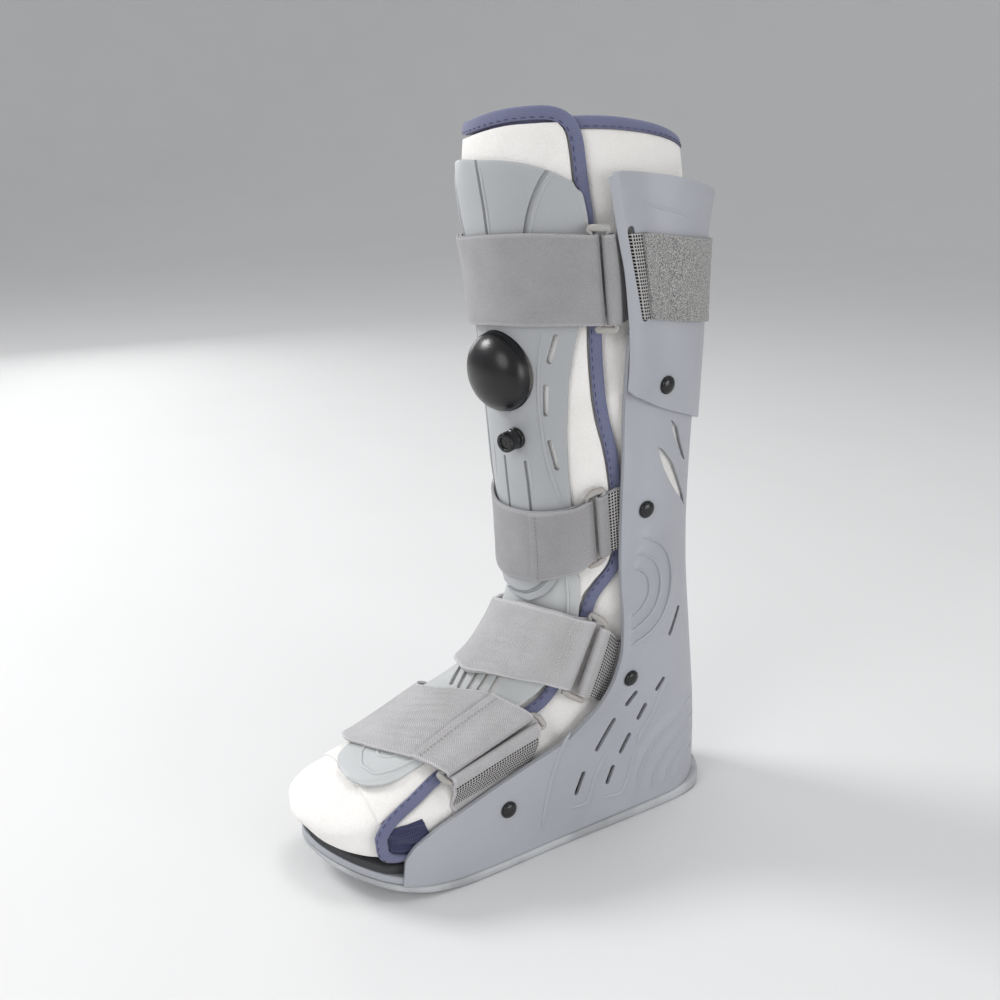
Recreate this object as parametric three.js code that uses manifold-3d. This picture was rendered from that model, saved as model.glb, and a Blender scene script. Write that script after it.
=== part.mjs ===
// Tall walker brace for an ankle, standing on its sole.
// Millimetres, +Z up, toe towards -Y, the side with the strap rings towards +X.
import * as THREE from 'three';
import { mergeVertices } from 'three/addons/utils/BufferGeometryUtils.js';
import Module from 'manifold-3d';

const wasm = await Module();
wasm.setup();

// Wall thicknesses and the clearance between neighbouring pieces
const linerWall = 7;
const flapWall = 3;
const bindingWall = 3.4;
const frontPlateWall = 3;
const footPlateWall = 2.3;
const shellWall = 3;
const cuffWall = 3;
const webbing = 1.6;
const clear = 0.35;

// Heights of the layers above the outside of the bootie
const flapBase = 0.9;
const plateBase = 4.7;
const tongueBase = plateBase + footPlateWall + 1.2;
const strapBase = 5.6;

// Turn of the shin plate, pump and foot plate towards the ring side, in degrees
const plateTurn = 8;

// Ring bars, in millimetres
const barRadius = 1.6;
const barSpacing = 8.8;
const foldRadius = barRadius + 0.45 + webbing / 2;
const ringOverhang = 4.8;

// Pump and valve
const pumpRadius = 23.5;
const pumpHeight = 19.6;
const pumpSection = 3.92;
const valveSection = 4.58;
const valveTurn = 16.5;
const valveRadius = 6;
const valveLength = 9;

// Rivet heads
const rivetRadius = 5.4;
const rivetHeight = 2.6;

// Bootie sections from the rim to the toe, each an oval between a front and a back point, with the
// rise of its sides and the shift of its middle towards the ring side
const linerSections = [
  { frontY: -21.5, frontZ: 441, backY: 96.6, backZ: 427, half: 54.4, square: 2.4, shift: 0, crown: 9 },
  { frontY: -23, frontZ: 416, backY: 101.5, backZ: 412, half: 56.4, square: 2.2, shift: 0, crown: 3 },
  { frontY: -20, frontZ: 390, backY: 107.5, backZ: 390, half: 57.5, square: 2, shift: 0, crown: 0 },
  { frontY: -13.2, frontZ: 351, backY: 113, backZ: 351, half: 57, square: 2, shift: 0, crown: 0 },
  { frontY: -7.7, frontZ: 300, backY: 113.5, backZ: 300, half: 54.5, square: 2, shift: 0, crown: 0 },
  { frontY: -0.6, frontZ: 240, backY: 114, backZ: 240, half: 51, square: 2, shift: 0, crown: 0 },
  { frontY: 7.8, frontZ: 187, backY: 116, backZ: 187, half: 48.5, square: 2, shift: 0, crown: 0 },
  { frontY: 8.5, frontZ: 158, backY: 119, backZ: 146, half: 47, square: 2, shift: 0, crown: 0 },
  { frontY: 2, frontZ: 142, backY: 124.5, backZ: 108, half: 45, square: 2.1, shift: 0, crown: 0 },
  { frontY: -7, frontZ: 130.5, backY: 129.5, backZ: 72, half: 42.5, square: 2.2, shift: 0, crown: 0 },
  { frontY: -16, frontZ: 121, backY: 130, backZ: 42, half: 41, square: 2.8, shift: 0, crown: 0 },
  { frontY: -26, frontZ: 113, backY: 113, backZ: 23.4, half: 40, square: 3.9, shift: 0, crown: 0 },
  { frontY: -40, frontZ: 105, backY: 66, backZ: 22.6, half: 41, square: 4, shift: 0, crown: 0 },
  { frontY: -56, frontZ: 97, backY: 16, backZ: 22.4, half: 43, square: 3.6, shift: 0, crown: 0 },
  { frontY: -77, frontZ: 84.5, backY: -34, backZ: 22.4, half: 46, square: 4.2, shift: 0, crown: 0 },
  { frontY: -97, frontZ: 73.5, backY: -75, backZ: 22, half: 47, square: 4.8, shift: 0, crown: 0 },
  { frontY: -117, frontZ: 66, backY: -108, backZ: 23.4, half: 45.5, square: 4.8, shift: -2, crown: 0 },
  { frontY: -134, frontZ: 59, backY: -127, backZ: 27, half: 39, square: 4.2, shift: -5, crown: 0 },
  { frontY: -145, frontZ: 50.5, backY: -139.5, backZ: 31.6, half: 27, square: 3.2, shift: -8, crown: 0 },
  { frontY: -149, frontZ: 45.5, backY: -147, backZ: 38, half: 10, square: 2, shift: -9, crown: 0 },
];

// Middle of the flap's edge tape on the bootie: section number and angle from the front in degrees
const flapEdge = [
  { at: -0.07, angle: 47 },
  { at: 0.01, angle: 53 },
  { at: 0.15, angle: 57.5 },
  { at: 0.4, angle: 60 },
  { at: 0.8, angle: 61.3 },
  { at: 1.4, angle: 62 },
  { at: 2.1, angle: 62.4 },
  { at: 3.5, angle: 62 },
  { at: 4.1, angle: 63.5 },
  { at: 4.35, angle: 65.5 },
  { at: 4.6, angle: 69 },
  { at: 4.85, angle: 71.5 },
  { at: 5.2, angle: 73 },
  { at: 5.65, angle: 73 },
  { at: 5.9, angle: 71.5 },
  { at: 6.1, angle: 68 },
  { at: 6.34, angle: 61.5 },
  { at: 6.7, angle: 54.5 },
  { at: 7.6, angle: 50.5 },
  { at: 8.8, angle: 50 },
  { at: 10.2, angle: 50.5 },
  { at: 11.6, angle: 52 },
  { at: 13.0, angle: 52.5 },
  { at: 14.3, angle: 54 },
  { at: 15.2, angle: 61 },
  { at: 15.8, angle: 72 },
  { at: 16.12, angle: 85 },
  { at: 16.2, angle: 98 },
];
const toeHook = [
  { at: 16.08, angle: 108 },
  { at: 15.85, angle: 116 },
];

// Ring side edge of the shin plate, and of the foot plate, by section number
const frontPlateEdge = [
  { at: 0.8, angle: 58 },
  { at: 1.25, angle: 61 },
  { at: 2.1, angle: 62.5 },
  { at: 3.4, angle: 53.5 },
  { at: 4.15, angle: 47.5 },
  { at: 4.75, angle: 46 },
  { at: 5.25, angle: 46.5 },
  { at: 5.8, angle: 44 },
  { at: 6.25, angle: 36 },
  { at: 6.6, angle: 29 },
  { at: 6.95, angle: 17 },
];
const footPlateEdge = [
  { at: 5.95, angle: 42 },
  { at: 6.3, angle: 48.5 },
  { at: 7.23, angle: 48 },
  { at: 9.35, angle: 47 },
  { at: 10.8, angle: 46 },
  { at: 11.4, angle: 44 },
  { at: 14.3, angle: 38.5 },
  { at: 15.3, angle: 36 },
  { at: 15.95, angle: 28 },
  { at: 16.22, angle: 16 },
];

// Strap closures: sections of the upper and lower edge by angle, ring angle, angle of the free
// end, height over the plate at each edge, height at the ring, angle and height at the shell edge
// and how far on it comes down, angle of the anchor end and rows across the webbing
const closures = [
  { name: 'calf_upper', ring: 66.2, end: -34, overTop: 9.4, overLow: 9.4, base: 9,
    edge: 75, edgeHeight: 3.6, drop: 5, anchor: 86, rows: 2, edges: [
      { angle: -60, top: 2.34, low: 3.46 },
      { angle: -20, top: 2.34, low: 3.48 },
      { angle: 12, top: 2.24, low: 3.4 },
      { angle: 36, top: 2.18, low: 3.36 },
      { angle: 52, top: 2.17, low: 3.335 },
      { angle: 66, top: 2.17, low: 3.32 },
    ] },
  { name: 'calf_lower', ring: 59, end: 22, overTop: 9.8, overLow: 12.2, base: strapBase,
    edge: 73, edgeHeight: 4.2, drop: 10, anchor: 94, rows: 3, edges: [
      { angle: -60, top: 5.2, low: 5.95 },
      { angle: -30, top: 5.33, low: 6.3 },
      { angle: -8, top: 5.38, low: 6.47 },
      { angle: 10, top: 5.365, low: 6.4 },
      { angle: 24, top: 5.34, low: 6.32 },
      { angle: 36.5, top: 5.3, low: 6.18 },
      { angle: 48, top: 5.235, low: 6.035 },
      { angle: 57, top: 5.15, low: 5.86 },
      { angle: 72, top: 5.06, low: 5.76 },
    ] },
  { name: 'instep', ring: 60, end: -24, overTop: 10.3, overLow: 10.3, base: strapBase,
    edge: 74, edgeHeight: 2, drop: 5, anchor: 94, rows: 4, edges: [
      { angle: -60, top: 7.8, low: 10.1 },
      { angle: -40, top: 7.85, low: 10.8 },
      { angle: -10, top: 7.45, low: 11.25 },
      { angle: 4, top: 7.2, low: 11.3 },
      { angle: 18, top: 7.05, low: 10.88 },
      { angle: 35, top: 7.04, low: 10.36 },
      { angle: 47, top: 7.12, low: 9.98 },
      { angle: 58, top: 7.22, low: 9.84 },
      { angle: 75, top: 7.74, low: 9.98 },
    ] },
  { name: 'forefoot', ring: 58, end: 31, overTop: 9.8, overLow: 9.15, base: 6.4,
    edge: 78, edgeHeight: 2, drop: 5, anchor: 96, rows: 4, edges: [
      { angle: -60, top: 12.7, low: 15.1 },
      { angle: -22, top: 12.95, low: 15.5 },
      { angle: 0, top: 12.58, low: 15.2 },
      { angle: 15, top: 12, low: 14.85 },
      { angle: 31, top: 11.5, low: 14.45 },
      { angle: 46, top: 11.47, low: 14.2 },
      { angle: 57, top: 11.6, low: 14.1 },
      { angle: 70, top: 12.05, low: 14.2 },
      { angle: 84, top: 12.65, low: 14.45 },
    ] },
];

// Sole stations from heel to toe: half width, bottom and top, and shift of the middle
const soleStations = [
  { y: 140.8, half: 8, bottom: 8.4, top: 12, shift: 0 },
  { y: 138.6, half: 19.5, bottom: 6, top: 11.4, shift: 0 },
  { y: 133.4, half: 29.5, bottom: 3.2, top: 10.2, shift: 0 },
  { y: 124, half: 37.5, bottom: 1, top: 8.6, shift: 0 },
  { y: 108, half: 42, bottom: 0, top: 7.4, shift: 0 },
  { y: 85, half: 44.5, bottom: 0, top: 6.6, shift: 0 },
  { y: 50, half: 46.8, bottom: 0, top: 6, shift: 0 },
  { y: 5, half: 49.5, bottom: 0, top: 6, shift: 0 },
  { y: -40, half: 53.5, bottom: 0, top: 6, shift: 0 },
  { y: -66, half: 55, bottom: 0.3, top: 6.2, shift: 0 },
  { y: -84, half: 54.4, bottom: 2, top: 7.4, shift: 0 },
  { y: -100, half: 51, bottom: 4.8, top: 9.6, shift: -0.5 },
  { y: -112, half: 46, bottom: 7.6, top: 12, shift: -2 },
  { y: -124, half: 37, bottom: 11, top: 15, shift: -4.5 },
  { y: -133, half: 27, bottom: 14, top: 17.6, shift: -7.5 },
  { y: -139, half: 16, bottom: 16.4, top: 19.6, shift: -10 },
  { y: -141.5, half: 6, bottom: 18, top: 20.8, shift: -11 },
];
const soleRound = 2.4;
const floorThickness = 5;
const floorInset = 0.8;
const footbedInset = 1.4;
const shellToeEnd = -104;

// Foot and ankle shell by height: back, half width of the leg, front edge
const shellRows = [
  { z: 12, back: 140.4, half: 50, front: -104 },
  { z: 26, back: 140, half: 50, front: -103 },
  { z: 35, back: 139.6, half: 50, front: -98 },
  { z: 42, back: 139.3, half: 50, front: -88 },
  { z: 50, back: 138.8, half: 50, front: -69 },
  { z: 58, back: 138.1, half: 50, front: -46 },
  { z: 66, back: 137.3, half: 50, front: -19 },
  { z: 74, back: 136.4, half: 50, front: 7 },
  { z: 84, back: 135.1, half: 50.2, front: 23 },
  { z: 97, back: 133.2, half: 50.6, front: 36 },
  { z: 112, back: 131, half: 51, front: 44 },
  { z: 130, back: 128.4, half: 51.6, front: 47.5 },
  { z: 150, back: 125.5, half: 52.6, front: 46.5 },
  { z: 175, back: 122.5, half: 53.6, front: 43 },
  { z: 210, back: 120.2, half: 55.2, front: 40.4 },
  { z: 250, back: 119.4, half: 57.4, front: 39 },
  { z: 290, back: 119.3, half: 59.6, front: 38 },
  { z: 328, back: 118.4, half: 61, front: 38.5 },
];
const shellBlendLow = 14;
const shellBlendHigh = 135;
const shellFlare = 1.6;
const flareReach = 18;
const legDepth = 62;
const heelDepth = 48;
const heelHalf = 42.4;

// Plan of the shell's foot in front of the heel's oval: half width by distance from the heel
const footPlan = [
  { back: 48, half: 42.4 },
  { back: 90, half: 45 },
  { back: 135, half: 48.6 },
  { back: 180, half: 52.6 },
  { back: 206, half: 54 },
  { back: 225, half: 53.6 },
  { back: 246, half: 49.6 },
];

// Calf cuff by height: back, half width, front edge
const cuffRows = [
  { z: 272, back: 123.2, half: 62.6, front: 35 },
  { z: 295, back: 123.3, half: 63.4, front: 34.5 },
  { z: 305, back: 123.2, half: 64, front: 34.5 },
  { z: 325, back: 122.8, half: 65, front: 33.5 },
  { z: 345, back: 122, half: 65.4, front: 31 },
  { z: 364, back: 121.8, half: 65.5, front: 28 },
  { z: 379, back: 122, half: 65.6, front: 24 },
  { z: 394, back: 123.4, half: 66, front: 20 },
  { z: 406, back: 125.4, half: 66.5, front: 17 },
  { z: 418, back: 128, half: 67, front: 13.5 },
];
const cuffFlare = 5.3;
const cuffFlareReach = 30;
const cuffDepth = 66;
const cuffTopFront = 417;
const cuffTopBack = 399;
const cuffSlot = { topY: 29.5, topZ: 386.5, lowY: 43.5, lowZ: 335.5, width: 5.4 };

// Lower edge of the cuff from the back to the front edge
const cuffLow = [
  { share: 0, z: 262 },
  { share: 0.3, z: 266 },
  { share: 0.61, z: 276 },
  { share: 0.81, z: 284.5 },
  { share: 0.92, z: 291.5 },
  { share: 1, z: 296 },
];

// Fall of the loop tape's upper and lower edge towards the back
const tapeFallTop = 10;
const tapeFallLow = 12;

// Straight vent slots of the shell: ends in side view
const shellSlots = [
  { y: 54.5, z: 87, toY: 63, toZ: 96 },
  { y: 78.5, z: 91.5, toY: 85, toZ: 100 },
  { y: 65.5, z: 73.5, toY: 71.5, toZ: 84.5 },
  { y: 33, z: 60, toY: 47, toZ: 80.5 },
  { y: 53, z: 52, toY: 60.5, toZ: 65.5 },
  { y: 86.5, z: 129, toY: 96.5, toZ: 146.5 },
  { y: 18, z: 33, toY: 24.5, toZ: 48.5 },
  { y: 43.5, z: 32, toY: 48.5, toZ: 45 },
];
const shellSlotWidth = 2.6;

// Hooked vents of the shell: two ends and the middle of each bow in side view
const shellHooks = [
  { y: 74, z: 274, viaY: 78.5, viaZ: 257, toY: 89, toZ: 246, width: 14 },
  { y: 66, z: 258, viaY: 71, viaZ: 237, toY: 91, toZ: 217, width: 17 },
];

// Oval vents of the shin plate and slots of the foot plate on the bootie
const frontVents = [
  { at: 3.48, angle: 43, toAt: 3.75, toAngle: 39 },
  { at: 4.03, angle: 36.5, toAt: 4.3, toAngle: 35.5 },
  { at: 4.58, angle: 37, toAt: 4.83, toAngle: 40 },
];
const frontVentWidth = 4.2;
const footVents = [-16, -2, 11, 22, 31].map((angle) => ({ at: 10.7, angle, toAt: 11.7, toAngle: angle }));
const footVentWidth = 2.8;

// Rivets in side view, by the piece they sit on
const rivets = [
  { name: 'cuff', y: 64, z: 297.5, on: 'cuff' },
  { name: 'calf', y: 58.5, z: 221, on: 'shell' },
  { name: 'ankle', y: 56, z: 107.5, on: 'shell' },
  { name: 'foot', y: -34, z: 42, on: 'shell' },
];

// Colours and finishes
const finish = {
  shell: { color: '#a6abb3', roughness: 0.45, metalness: 0 },
  plate: { color: '#aaaaac', roughness: 0.45, metalness: 0 },
  footPlate: { color: '#c6c7c8', roughness: 0.5, metalness: 0 },
  liner: { color: '#eeebe4', roughness: 0.95, metalness: 0 },
  binding: { color: '#767ba2', roughness: 0.9, metalness: 0 },
  webbing: { color: '#a5a29d', roughness: 0.95, metalness: 0 },
  loop: { color: '#9b9a98', roughness: 1, metalness: 0 },
  ring: { color: '#e3dcda', roughness: 0.4, metalness: 0 },
  black: { color: '#141415', roughness: 0.4, metalness: 0 },
  footbed: { color: '#3c3d40', roughness: 0.9, metalness: 0 },
  sole: { color: '#b4b7bb', roughness: 0.7, metalness: 0 },
};

const degree = Math.PI / 180;
const group = new THREE.Group();

// Curve through a table column that never overshoots its rows
function column(table, knot, value) {
  const sign = table[0][knot] > table[table.length - 1][knot] ? -1 : 1;
  const xs = table.map((row) => sign * row[knot]);
  const ys = table.map((row) => row[value]);
  const last = xs.length - 1;
  const steps = xs.slice(1).map((x, i) => (ys[i + 1] - ys[i]) / (x - xs[i]));
  const slopes = ys.map((y, i) => {
    if (i === 0) return steps[0];
    if (i === last) return steps[last - 1];
    const before = steps[i - 1];
    const after = steps[i];
    if (before * after <= 0) return 0;
    return (2 * before * after) / (before + after);
  });
  return (at) => {
    if (sign * at < xs[0]) return ys[0] + slopes[0] * (sign * at - xs[0]);
    const x = Math.min(sign * at, xs[last]);
    let i = 0;
    while (i < last - 1 && x > xs[i + 1]) i += 1;
    const width = xs[i + 1] - xs[i];
    const t = (x - xs[i]) / width;
    const rise = ys[i + 1] - ys[i];
    const bend = slopes[i] * width * t * (1 - t) * (1 - t) - slopes[i + 1] * width * t * t * (1 - t);
    return ys[i] + rise * t * t * (3 - 2 * t) + bend;
  };
}

// Adds a named piece
function addPiece(name, geometry, look) {
  geometry.computeVertexNormals();
  const mesh = new THREE.Mesh(geometry, new THREE.MeshStandardMaterial(finish[look]));
  mesh.name = name;
  group.add(mesh);
  return mesh;
}

// Closed body from points and triangles, turned to face outwards
function body(points, faces) {
  let volume = 0;
  const cross = new THREE.Vector3();
  for (const [a, b, c] of faces) {
    volume += cross.crossVectors(points[a], points[b]).dot(points[c]);
  }
  const order = volume < 0 ? faces.map(([a, b, c]) => [a, c, b]) : faces;
  const geometry = new THREE.BufferGeometry();
  geometry.setFromPoints(points);
  geometry.setIndex(order.flat());
  return geometry;
}

// Wall between an outer and an inner grid; round grids close on themselves, capped ones end in a dome
function wall(outer, inner, round = false, capped = false) {
  const rows = outer.length;
  const columns = outer[0].length;
  const points = [...outer.flat(), ...inner.flat()];
  const faces = [];
  const inside = rows * columns;
  const quad = (a, b, c, d) => faces.push([a, b, c], [a, c, d]);
  const across = round ? columns : columns - 1;
  for (let i = 0; i < rows - 1; i += 1) {
    for (let j = 0; j < across; j += 1) {
      const k = (j + 1) % columns;
      const a = i * columns + j;
      const b = i * columns + k;
      const c = (i + 1) * columns + k;
      const d = (i + 1) * columns + j;
      quad(a, b, c, d);
      quad(inside + d, inside + c, inside + b, inside + a);
    }
  }
  for (let j = 0; j < across; j += 1) {
    const k = (j + 1) % columns;
    const a = (rows - 1) * columns + j;
    const b = (rows - 1) * columns + k;
    quad(inside + j, inside + k, k, j);
    if (!capped) quad(a, b, inside + b, inside + a);
  }
  if (!round) {
    for (let i = 0; i < rows - 1; i += 1) {
      const a = i * columns;
      const b = a + columns;
      const c = a + columns - 1;
      const d = c + columns;
      quad(inside + a, a, b, inside + b);
      quad(c, inside + c, inside + d, d);
    }
  }
  if (capped) {
    for (const [grid, base] of [[outer, 0], [inner, inside]]) {
      const middle = new THREE.Vector3();
      grid[rows - 1].forEach((point) => middle.addScaledVector(point, 1 / columns));
      points.push(middle);
      const first = base + (rows - 1) * columns;
      for (let j = 0; j < columns; j += 1) {
        const k = (j + 1) % columns;
        const tip = points.length - 1;
        faces.push(base ? [first + k, first + j, tip] : [first + j, first + k, tip]);
      }
    }
  }
  return body(points, faces);
}

// Grid of points from a function of two shares between 0 and 1
function grid(rows, columns, at) {
  const lines = [];
  for (let i = 0; i < rows; i += 1) {
    const line = [];
    for (let j = 0; j < columns; j += 1) line.push(at(j / (columns - 1), i / (rows - 1)));
    lines.push(line);
  }
  return lines;
}

// Solid of a piece, for cutting
function toSolid(geometry) {
  const bare = geometry.clone();
  bare.deleteAttribute('normal');
  bare.deleteAttribute('uv');
  const merged = mergeVertices(bare, 1e-4);
  const mesh = new wasm.Mesh({
    numProp: 3,
    vertProperties: new Float32Array(merged.attributes.position.array),
    triVerts: new Uint32Array(merged.index.array),
  });
  return new wasm.Manifold(mesh);
}

// Piece with a list of cutters taken out of it, and another piece joined to it first
function cutBy(geometry, cutters, joined = null) {
  let solid = toSolid(geometry);
  if (joined) solid = solid.add(toSolid(joined));
  for (const cutter of cutters) solid = solid.subtract(toSolid(cutter));
  const mesh = solid.getMesh();
  const result = new THREE.BufferGeometry();
  result.setAttribute('position', new THREE.BufferAttribute(new Float32Array(mesh.vertProperties), 3));
  result.setIndex(new THREE.BufferAttribute(new Uint32Array(mesh.triVerts), 1));
  return result;
}

// Bootie surface: section number, angle from the front towards the ring side, height above it
const sectionOf = Object.fromEntries(
  ['frontY', 'frontZ', 'backY', 'backZ', 'half', 'square', 'shift', 'crown'].map((key) => {
    const table = linerSections.map((row, at) => ({ at, value: row[key] }));
    return [key, column(table, 'at', 'value')];
  }),
);

function boot(at, angle, height) {
  const halfY = (sectionOf.frontY(at) - sectionOf.backY(at)) / 2;
  const halfZ = (sectionOf.frontZ(at) - sectionOf.backZ(at)) / 2;
  const length = Math.hypot(halfY, halfZ);
  const cosine = Math.cos(angle * degree);
  const sine = Math.sin(angle * degree);
  const power = 2 / (cosine < 0 ? sectionOf.square(at) : 2);
  const along = ((length + height) / length) * Math.sign(cosine) * Math.abs(cosine) ** power;
  const side = Math.sign(sine) * Math.abs(sine) ** power;
  return new THREE.Vector3(
    sectionOf.shift(at) + (sectionOf.half(at) + height) * side,
    (sectionOf.frontY(at) + sectionOf.backY(at)) / 2 + halfY * along,
    (sectionOf.frontZ(at) + sectionOf.backZ(at)) / 2 + halfZ * along + sectionOf.crown(at) * sine * sine,
  );
}

// Outward, sideways and downward directions of the bootie at a place
function bootFrame(at, angle, height) {
  const side = boot(at, angle + 0.5, height).sub(boot(at, angle - 0.5, height)).normalize();
  const down = boot(at + 0.02, angle, height).sub(boot(at - 0.02, angle, height)).normalize();
  const out = new THREE.Vector3().crossVectors(down, side).normalize();
  const place = boot(at, angle, height);
  if (out.dot(boot(at, angle, height + 5).sub(place)) < 0) out.negate();
  return { place, out, side, down };
}

// Wall that follows the bootie between two heights
function bootPatch(rows, columns, where, low, high) {
  const layer = (height) => grid(rows, columns, (u, v) => {
    const { at, angle } = where(u, v);
    return boot(at, angle, height(at, angle));
  });
  return wall(layer(high), layer(low));
}

// Prism of a flat outline, centred on a place and reaching both ways along a direction
function prism(outline, place, out, side, reach) {
  const options = { depth: 2 * reach, bevelEnabled: false, curveSegments: 1 };
  const geometry = new THREE.ExtrudeGeometry(outline, options);
  geometry.translate(0, 0, -reach);
  const along = new THREE.Vector3().crossVectors(out, side).normalize();
  const across = new THREE.Vector3().crossVectors(along, out).normalize();
  const frame = new THREE.Matrix4().makeBasis(across, along, out);
  frame.setPosition(place);
  return geometry.applyMatrix4(frame);
}

// Outline of a slot with round ends, lying along x
function slotOutline(length, width) {
  const shape = new THREE.Shape();
  const reach = Math.max(length - width, 0.2) / 2;
  shape.moveTo(-reach, -width / 2);
  shape.lineTo(reach, -width / 2);
  shape.absarc(reach, 0, width / 2, -Math.PI / 2, Math.PI / 2, false);
  shape.lineTo(-reach, width / 2);
  shape.absarc(-reach, 0, width / 2, Math.PI / 2, (3 * Math.PI) / 2, false);
  return shape;
}

// Outline of a bowed vent, widest in the middle, in side view
function hookOutline({ y, z, viaY, viaZ, toY, toZ, width }) {
  const across = new THREE.Vector2(toZ - z, y - toY).normalize().multiplyScalar(width / 2);
  const shape = new THREE.Shape();
  shape.moveTo(y, z);
  shape.quadraticCurveTo(viaY + across.x, viaZ + across.y, toY, toZ);
  shape.quadraticCurveTo(viaY - across.x, viaZ - across.y, y, z);
  return shape;
}

// Slot cutter between two places on the bootie
function bootSlot({ at, angle, toAt, toAngle }, width, height) {
  const start = boot(at, angle, height);
  const end = boot(toAt, toAngle, height);
  const frame = bootFrame((at + toAt) / 2, (angle + toAngle) / 2, height);
  const side = end.clone().sub(start);
  return prism(slotOutline(side.length() + width, width), frame.place, frame.out, side, 7);
}

// Prism through one side wall of the shell or cuff
function sidePrism(outline, place, side, sign) {
  return prism(outline, place, new THREE.Vector3(sign, 0, 0), side, 22);
}

// Bootie body
const rimBand = 0.25;
const lastSection = linerSections.length - 1;
const linerRows = [0.28, 1, 2.2, 3, 4, 5, 5.6, 6, 6.3, 6.6, 7, 7.4, 8, 9, 10, 11, 12, 13, 14, 15, 16, 17, 18, 19];
const linerColumns = 22;
const linerRing = (at, height) => {
  const ring = [];
  for (let j = 0; j < linerColumns; j += 1) ring.push(boot(at, (360 * j) / linerColumns, height));
  return ring;
};
const innerEnd = lastSection - 1.2;
const innerScale = (innerEnd - 15) / (lastSection - 15);
const innerRows = linerRows.map((at) => (at <= 15 ? at : 15 + (at - 15) * innerScale));
const toeThin = (at) => (at > 17 ? linerWall - 1.2 * (at - 17) : linerWall);
addPiece('liner_body', wall(
  linerRows.map((at) => linerRing(at, 0)),
  innerRows.map((at) => linerRing(at, -toeThin(at))),
  true,
  true,
), 'liner');

// Rim tape round the top of the bootie
const rimOutline = [
  { at: rimBand, height: 0.3 },
  { at: 0.08, height: 0.3 },
  { at: 0, height: -1.6 },
  { at: 0, height: 1.6 - linerWall },
  { at: 0.08, height: -0.3 - linerWall },
  { at: rimBand, height: -0.3 - linerWall },
];
const rimHalf = rimOutline.length / 2;
addPiece('rim_binding', wall(
  rimOutline.slice(0, rimHalf).map(({ at, height }) => linerRing(at, height)),
  rimOutline.slice(rimHalf).reverse().map(({ at, height }) => linerRing(at, height)),
  true,
), 'binding');

// Flap over the shin and instep
const edgeAngle = column(flapEdge, 'at', 'angle');
const tapeHalf = 3.7;
const flapFar = -62;
const flapTopNear = 0.12;
const flapTopFar = 0.42;
const flapEnd = 16.05;
const flapRows = [flapTopNear, ...linerRows.filter((at) => at > 0.5 && at < 16), flapEnd];
function nearEdge(at) {
  const radius = sectionOf.half(at) + 2;
  const fall = boot(at + 0.05, edgeAngle(at), 2).distanceTo(boot(at - 0.05, edgeAngle(at), 2));
  const swing = (edgeAngle(at + 0.05) - edgeAngle(at - 0.05)) * degree * radius;
  return edgeAngle(at) - ((tapeHalf + 1.7) * Math.hypot(1, swing / fall)) / radius / degree;
}
const flapShare = (angle) => THREE.MathUtils.smoothstep(angle, -30, 30);
const flapTop = (angle) => THREE.MathUtils.lerp(flapTopFar, flapTopNear, flapShare(angle));
const flapTaper = (angle) => THREE.MathUtils.smoothstep(angle, flapFar - 6, flapFar + 22);
const flapThin = (at) => 1 - 0.7 * THREE.MathUtils.smoothstep(at, 14.6, flapEnd);
const flapHigh = (at, angle) => flapBase + 0.5 + (flapWall - 0.5) * flapTaper(angle) * flapThin(at);
addPiece('liner_flap', bootPatch(flapRows.length, 10, (u, v) => {
  const row = Math.round(v * (flapRows.length - 1));
  const angle = THREE.MathUtils.lerp(flapFar, nearEdge(flapRows[row]), u);
  return { at: row === 0 ? flapTop(angle) : flapRows[row], angle };
}, () => flapBase, flapHigh), 'liner');

// Edge tape of the flap: along its top, round the corner and down to the toe
const tapePath = [];
for (let angle = flapFar; angle <= 36; angle += 12) tapePath.push({ at: flapTop(angle) - 0.21, angle });
flapEdge.forEach(({ at, angle }, i) => {
  tapePath.push({ at, angle });
  const next = flapEdge[i + 1];
  if (!next || next.at - at < 0.9) return;
  const between = (at + next.at) / 2;
  tapePath.push({ at: between, angle: edgeAngle(between) });
});
tapePath.push(...toeHook);
const tapeSide = tapePath.map(({ at, angle }, i) => {
  const before = tapePath[Math.max(i - 1, 0)];
  const after = tapePath[Math.min(i + 1, tapePath.length - 1)];
  const along = boot(after.at, after.angle, 2).sub(boot(before.at, before.angle, 2)).normalize();
  const { out } = bootFrame(at, angle, 2);
  const across = new THREE.Vector3().crossVectors(along, out).normalize();
  const far = flapTaper(angle);
  const pressed = THREE.MathUtils.smoothstep(at, 4.7, 5.05) * (1 - THREE.MathUtils.smoothstep(at, 5.85, 6.1));
  const full = (bindingWall - 0.6) * (1 - 0.8 * pressed);
  return { at, angle, across, out, height: 0.6 + full * Math.max(far, 0.05) };
});
const tapeLine = (share, raised) => tapeSide.map(({ at, angle, across, out, height }) => {
  const base = boot(at, angle, flapBase + 0.1);
  const crown = raised ? height * (1 - 0.25 * (2 * share - 1) ** 2) : 0;
  return base.addScaledVector(across, (2 * share - 1) * tapeHalf).addScaledVector(out, crown);
});
addPiece('flap_binding', wall(
  [0, 0.5, 1].map((share) => tapeLine(share, true)),
  [0, 0.5, 1].map((share) => tapeLine(share, false)),
), 'binding');

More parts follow.
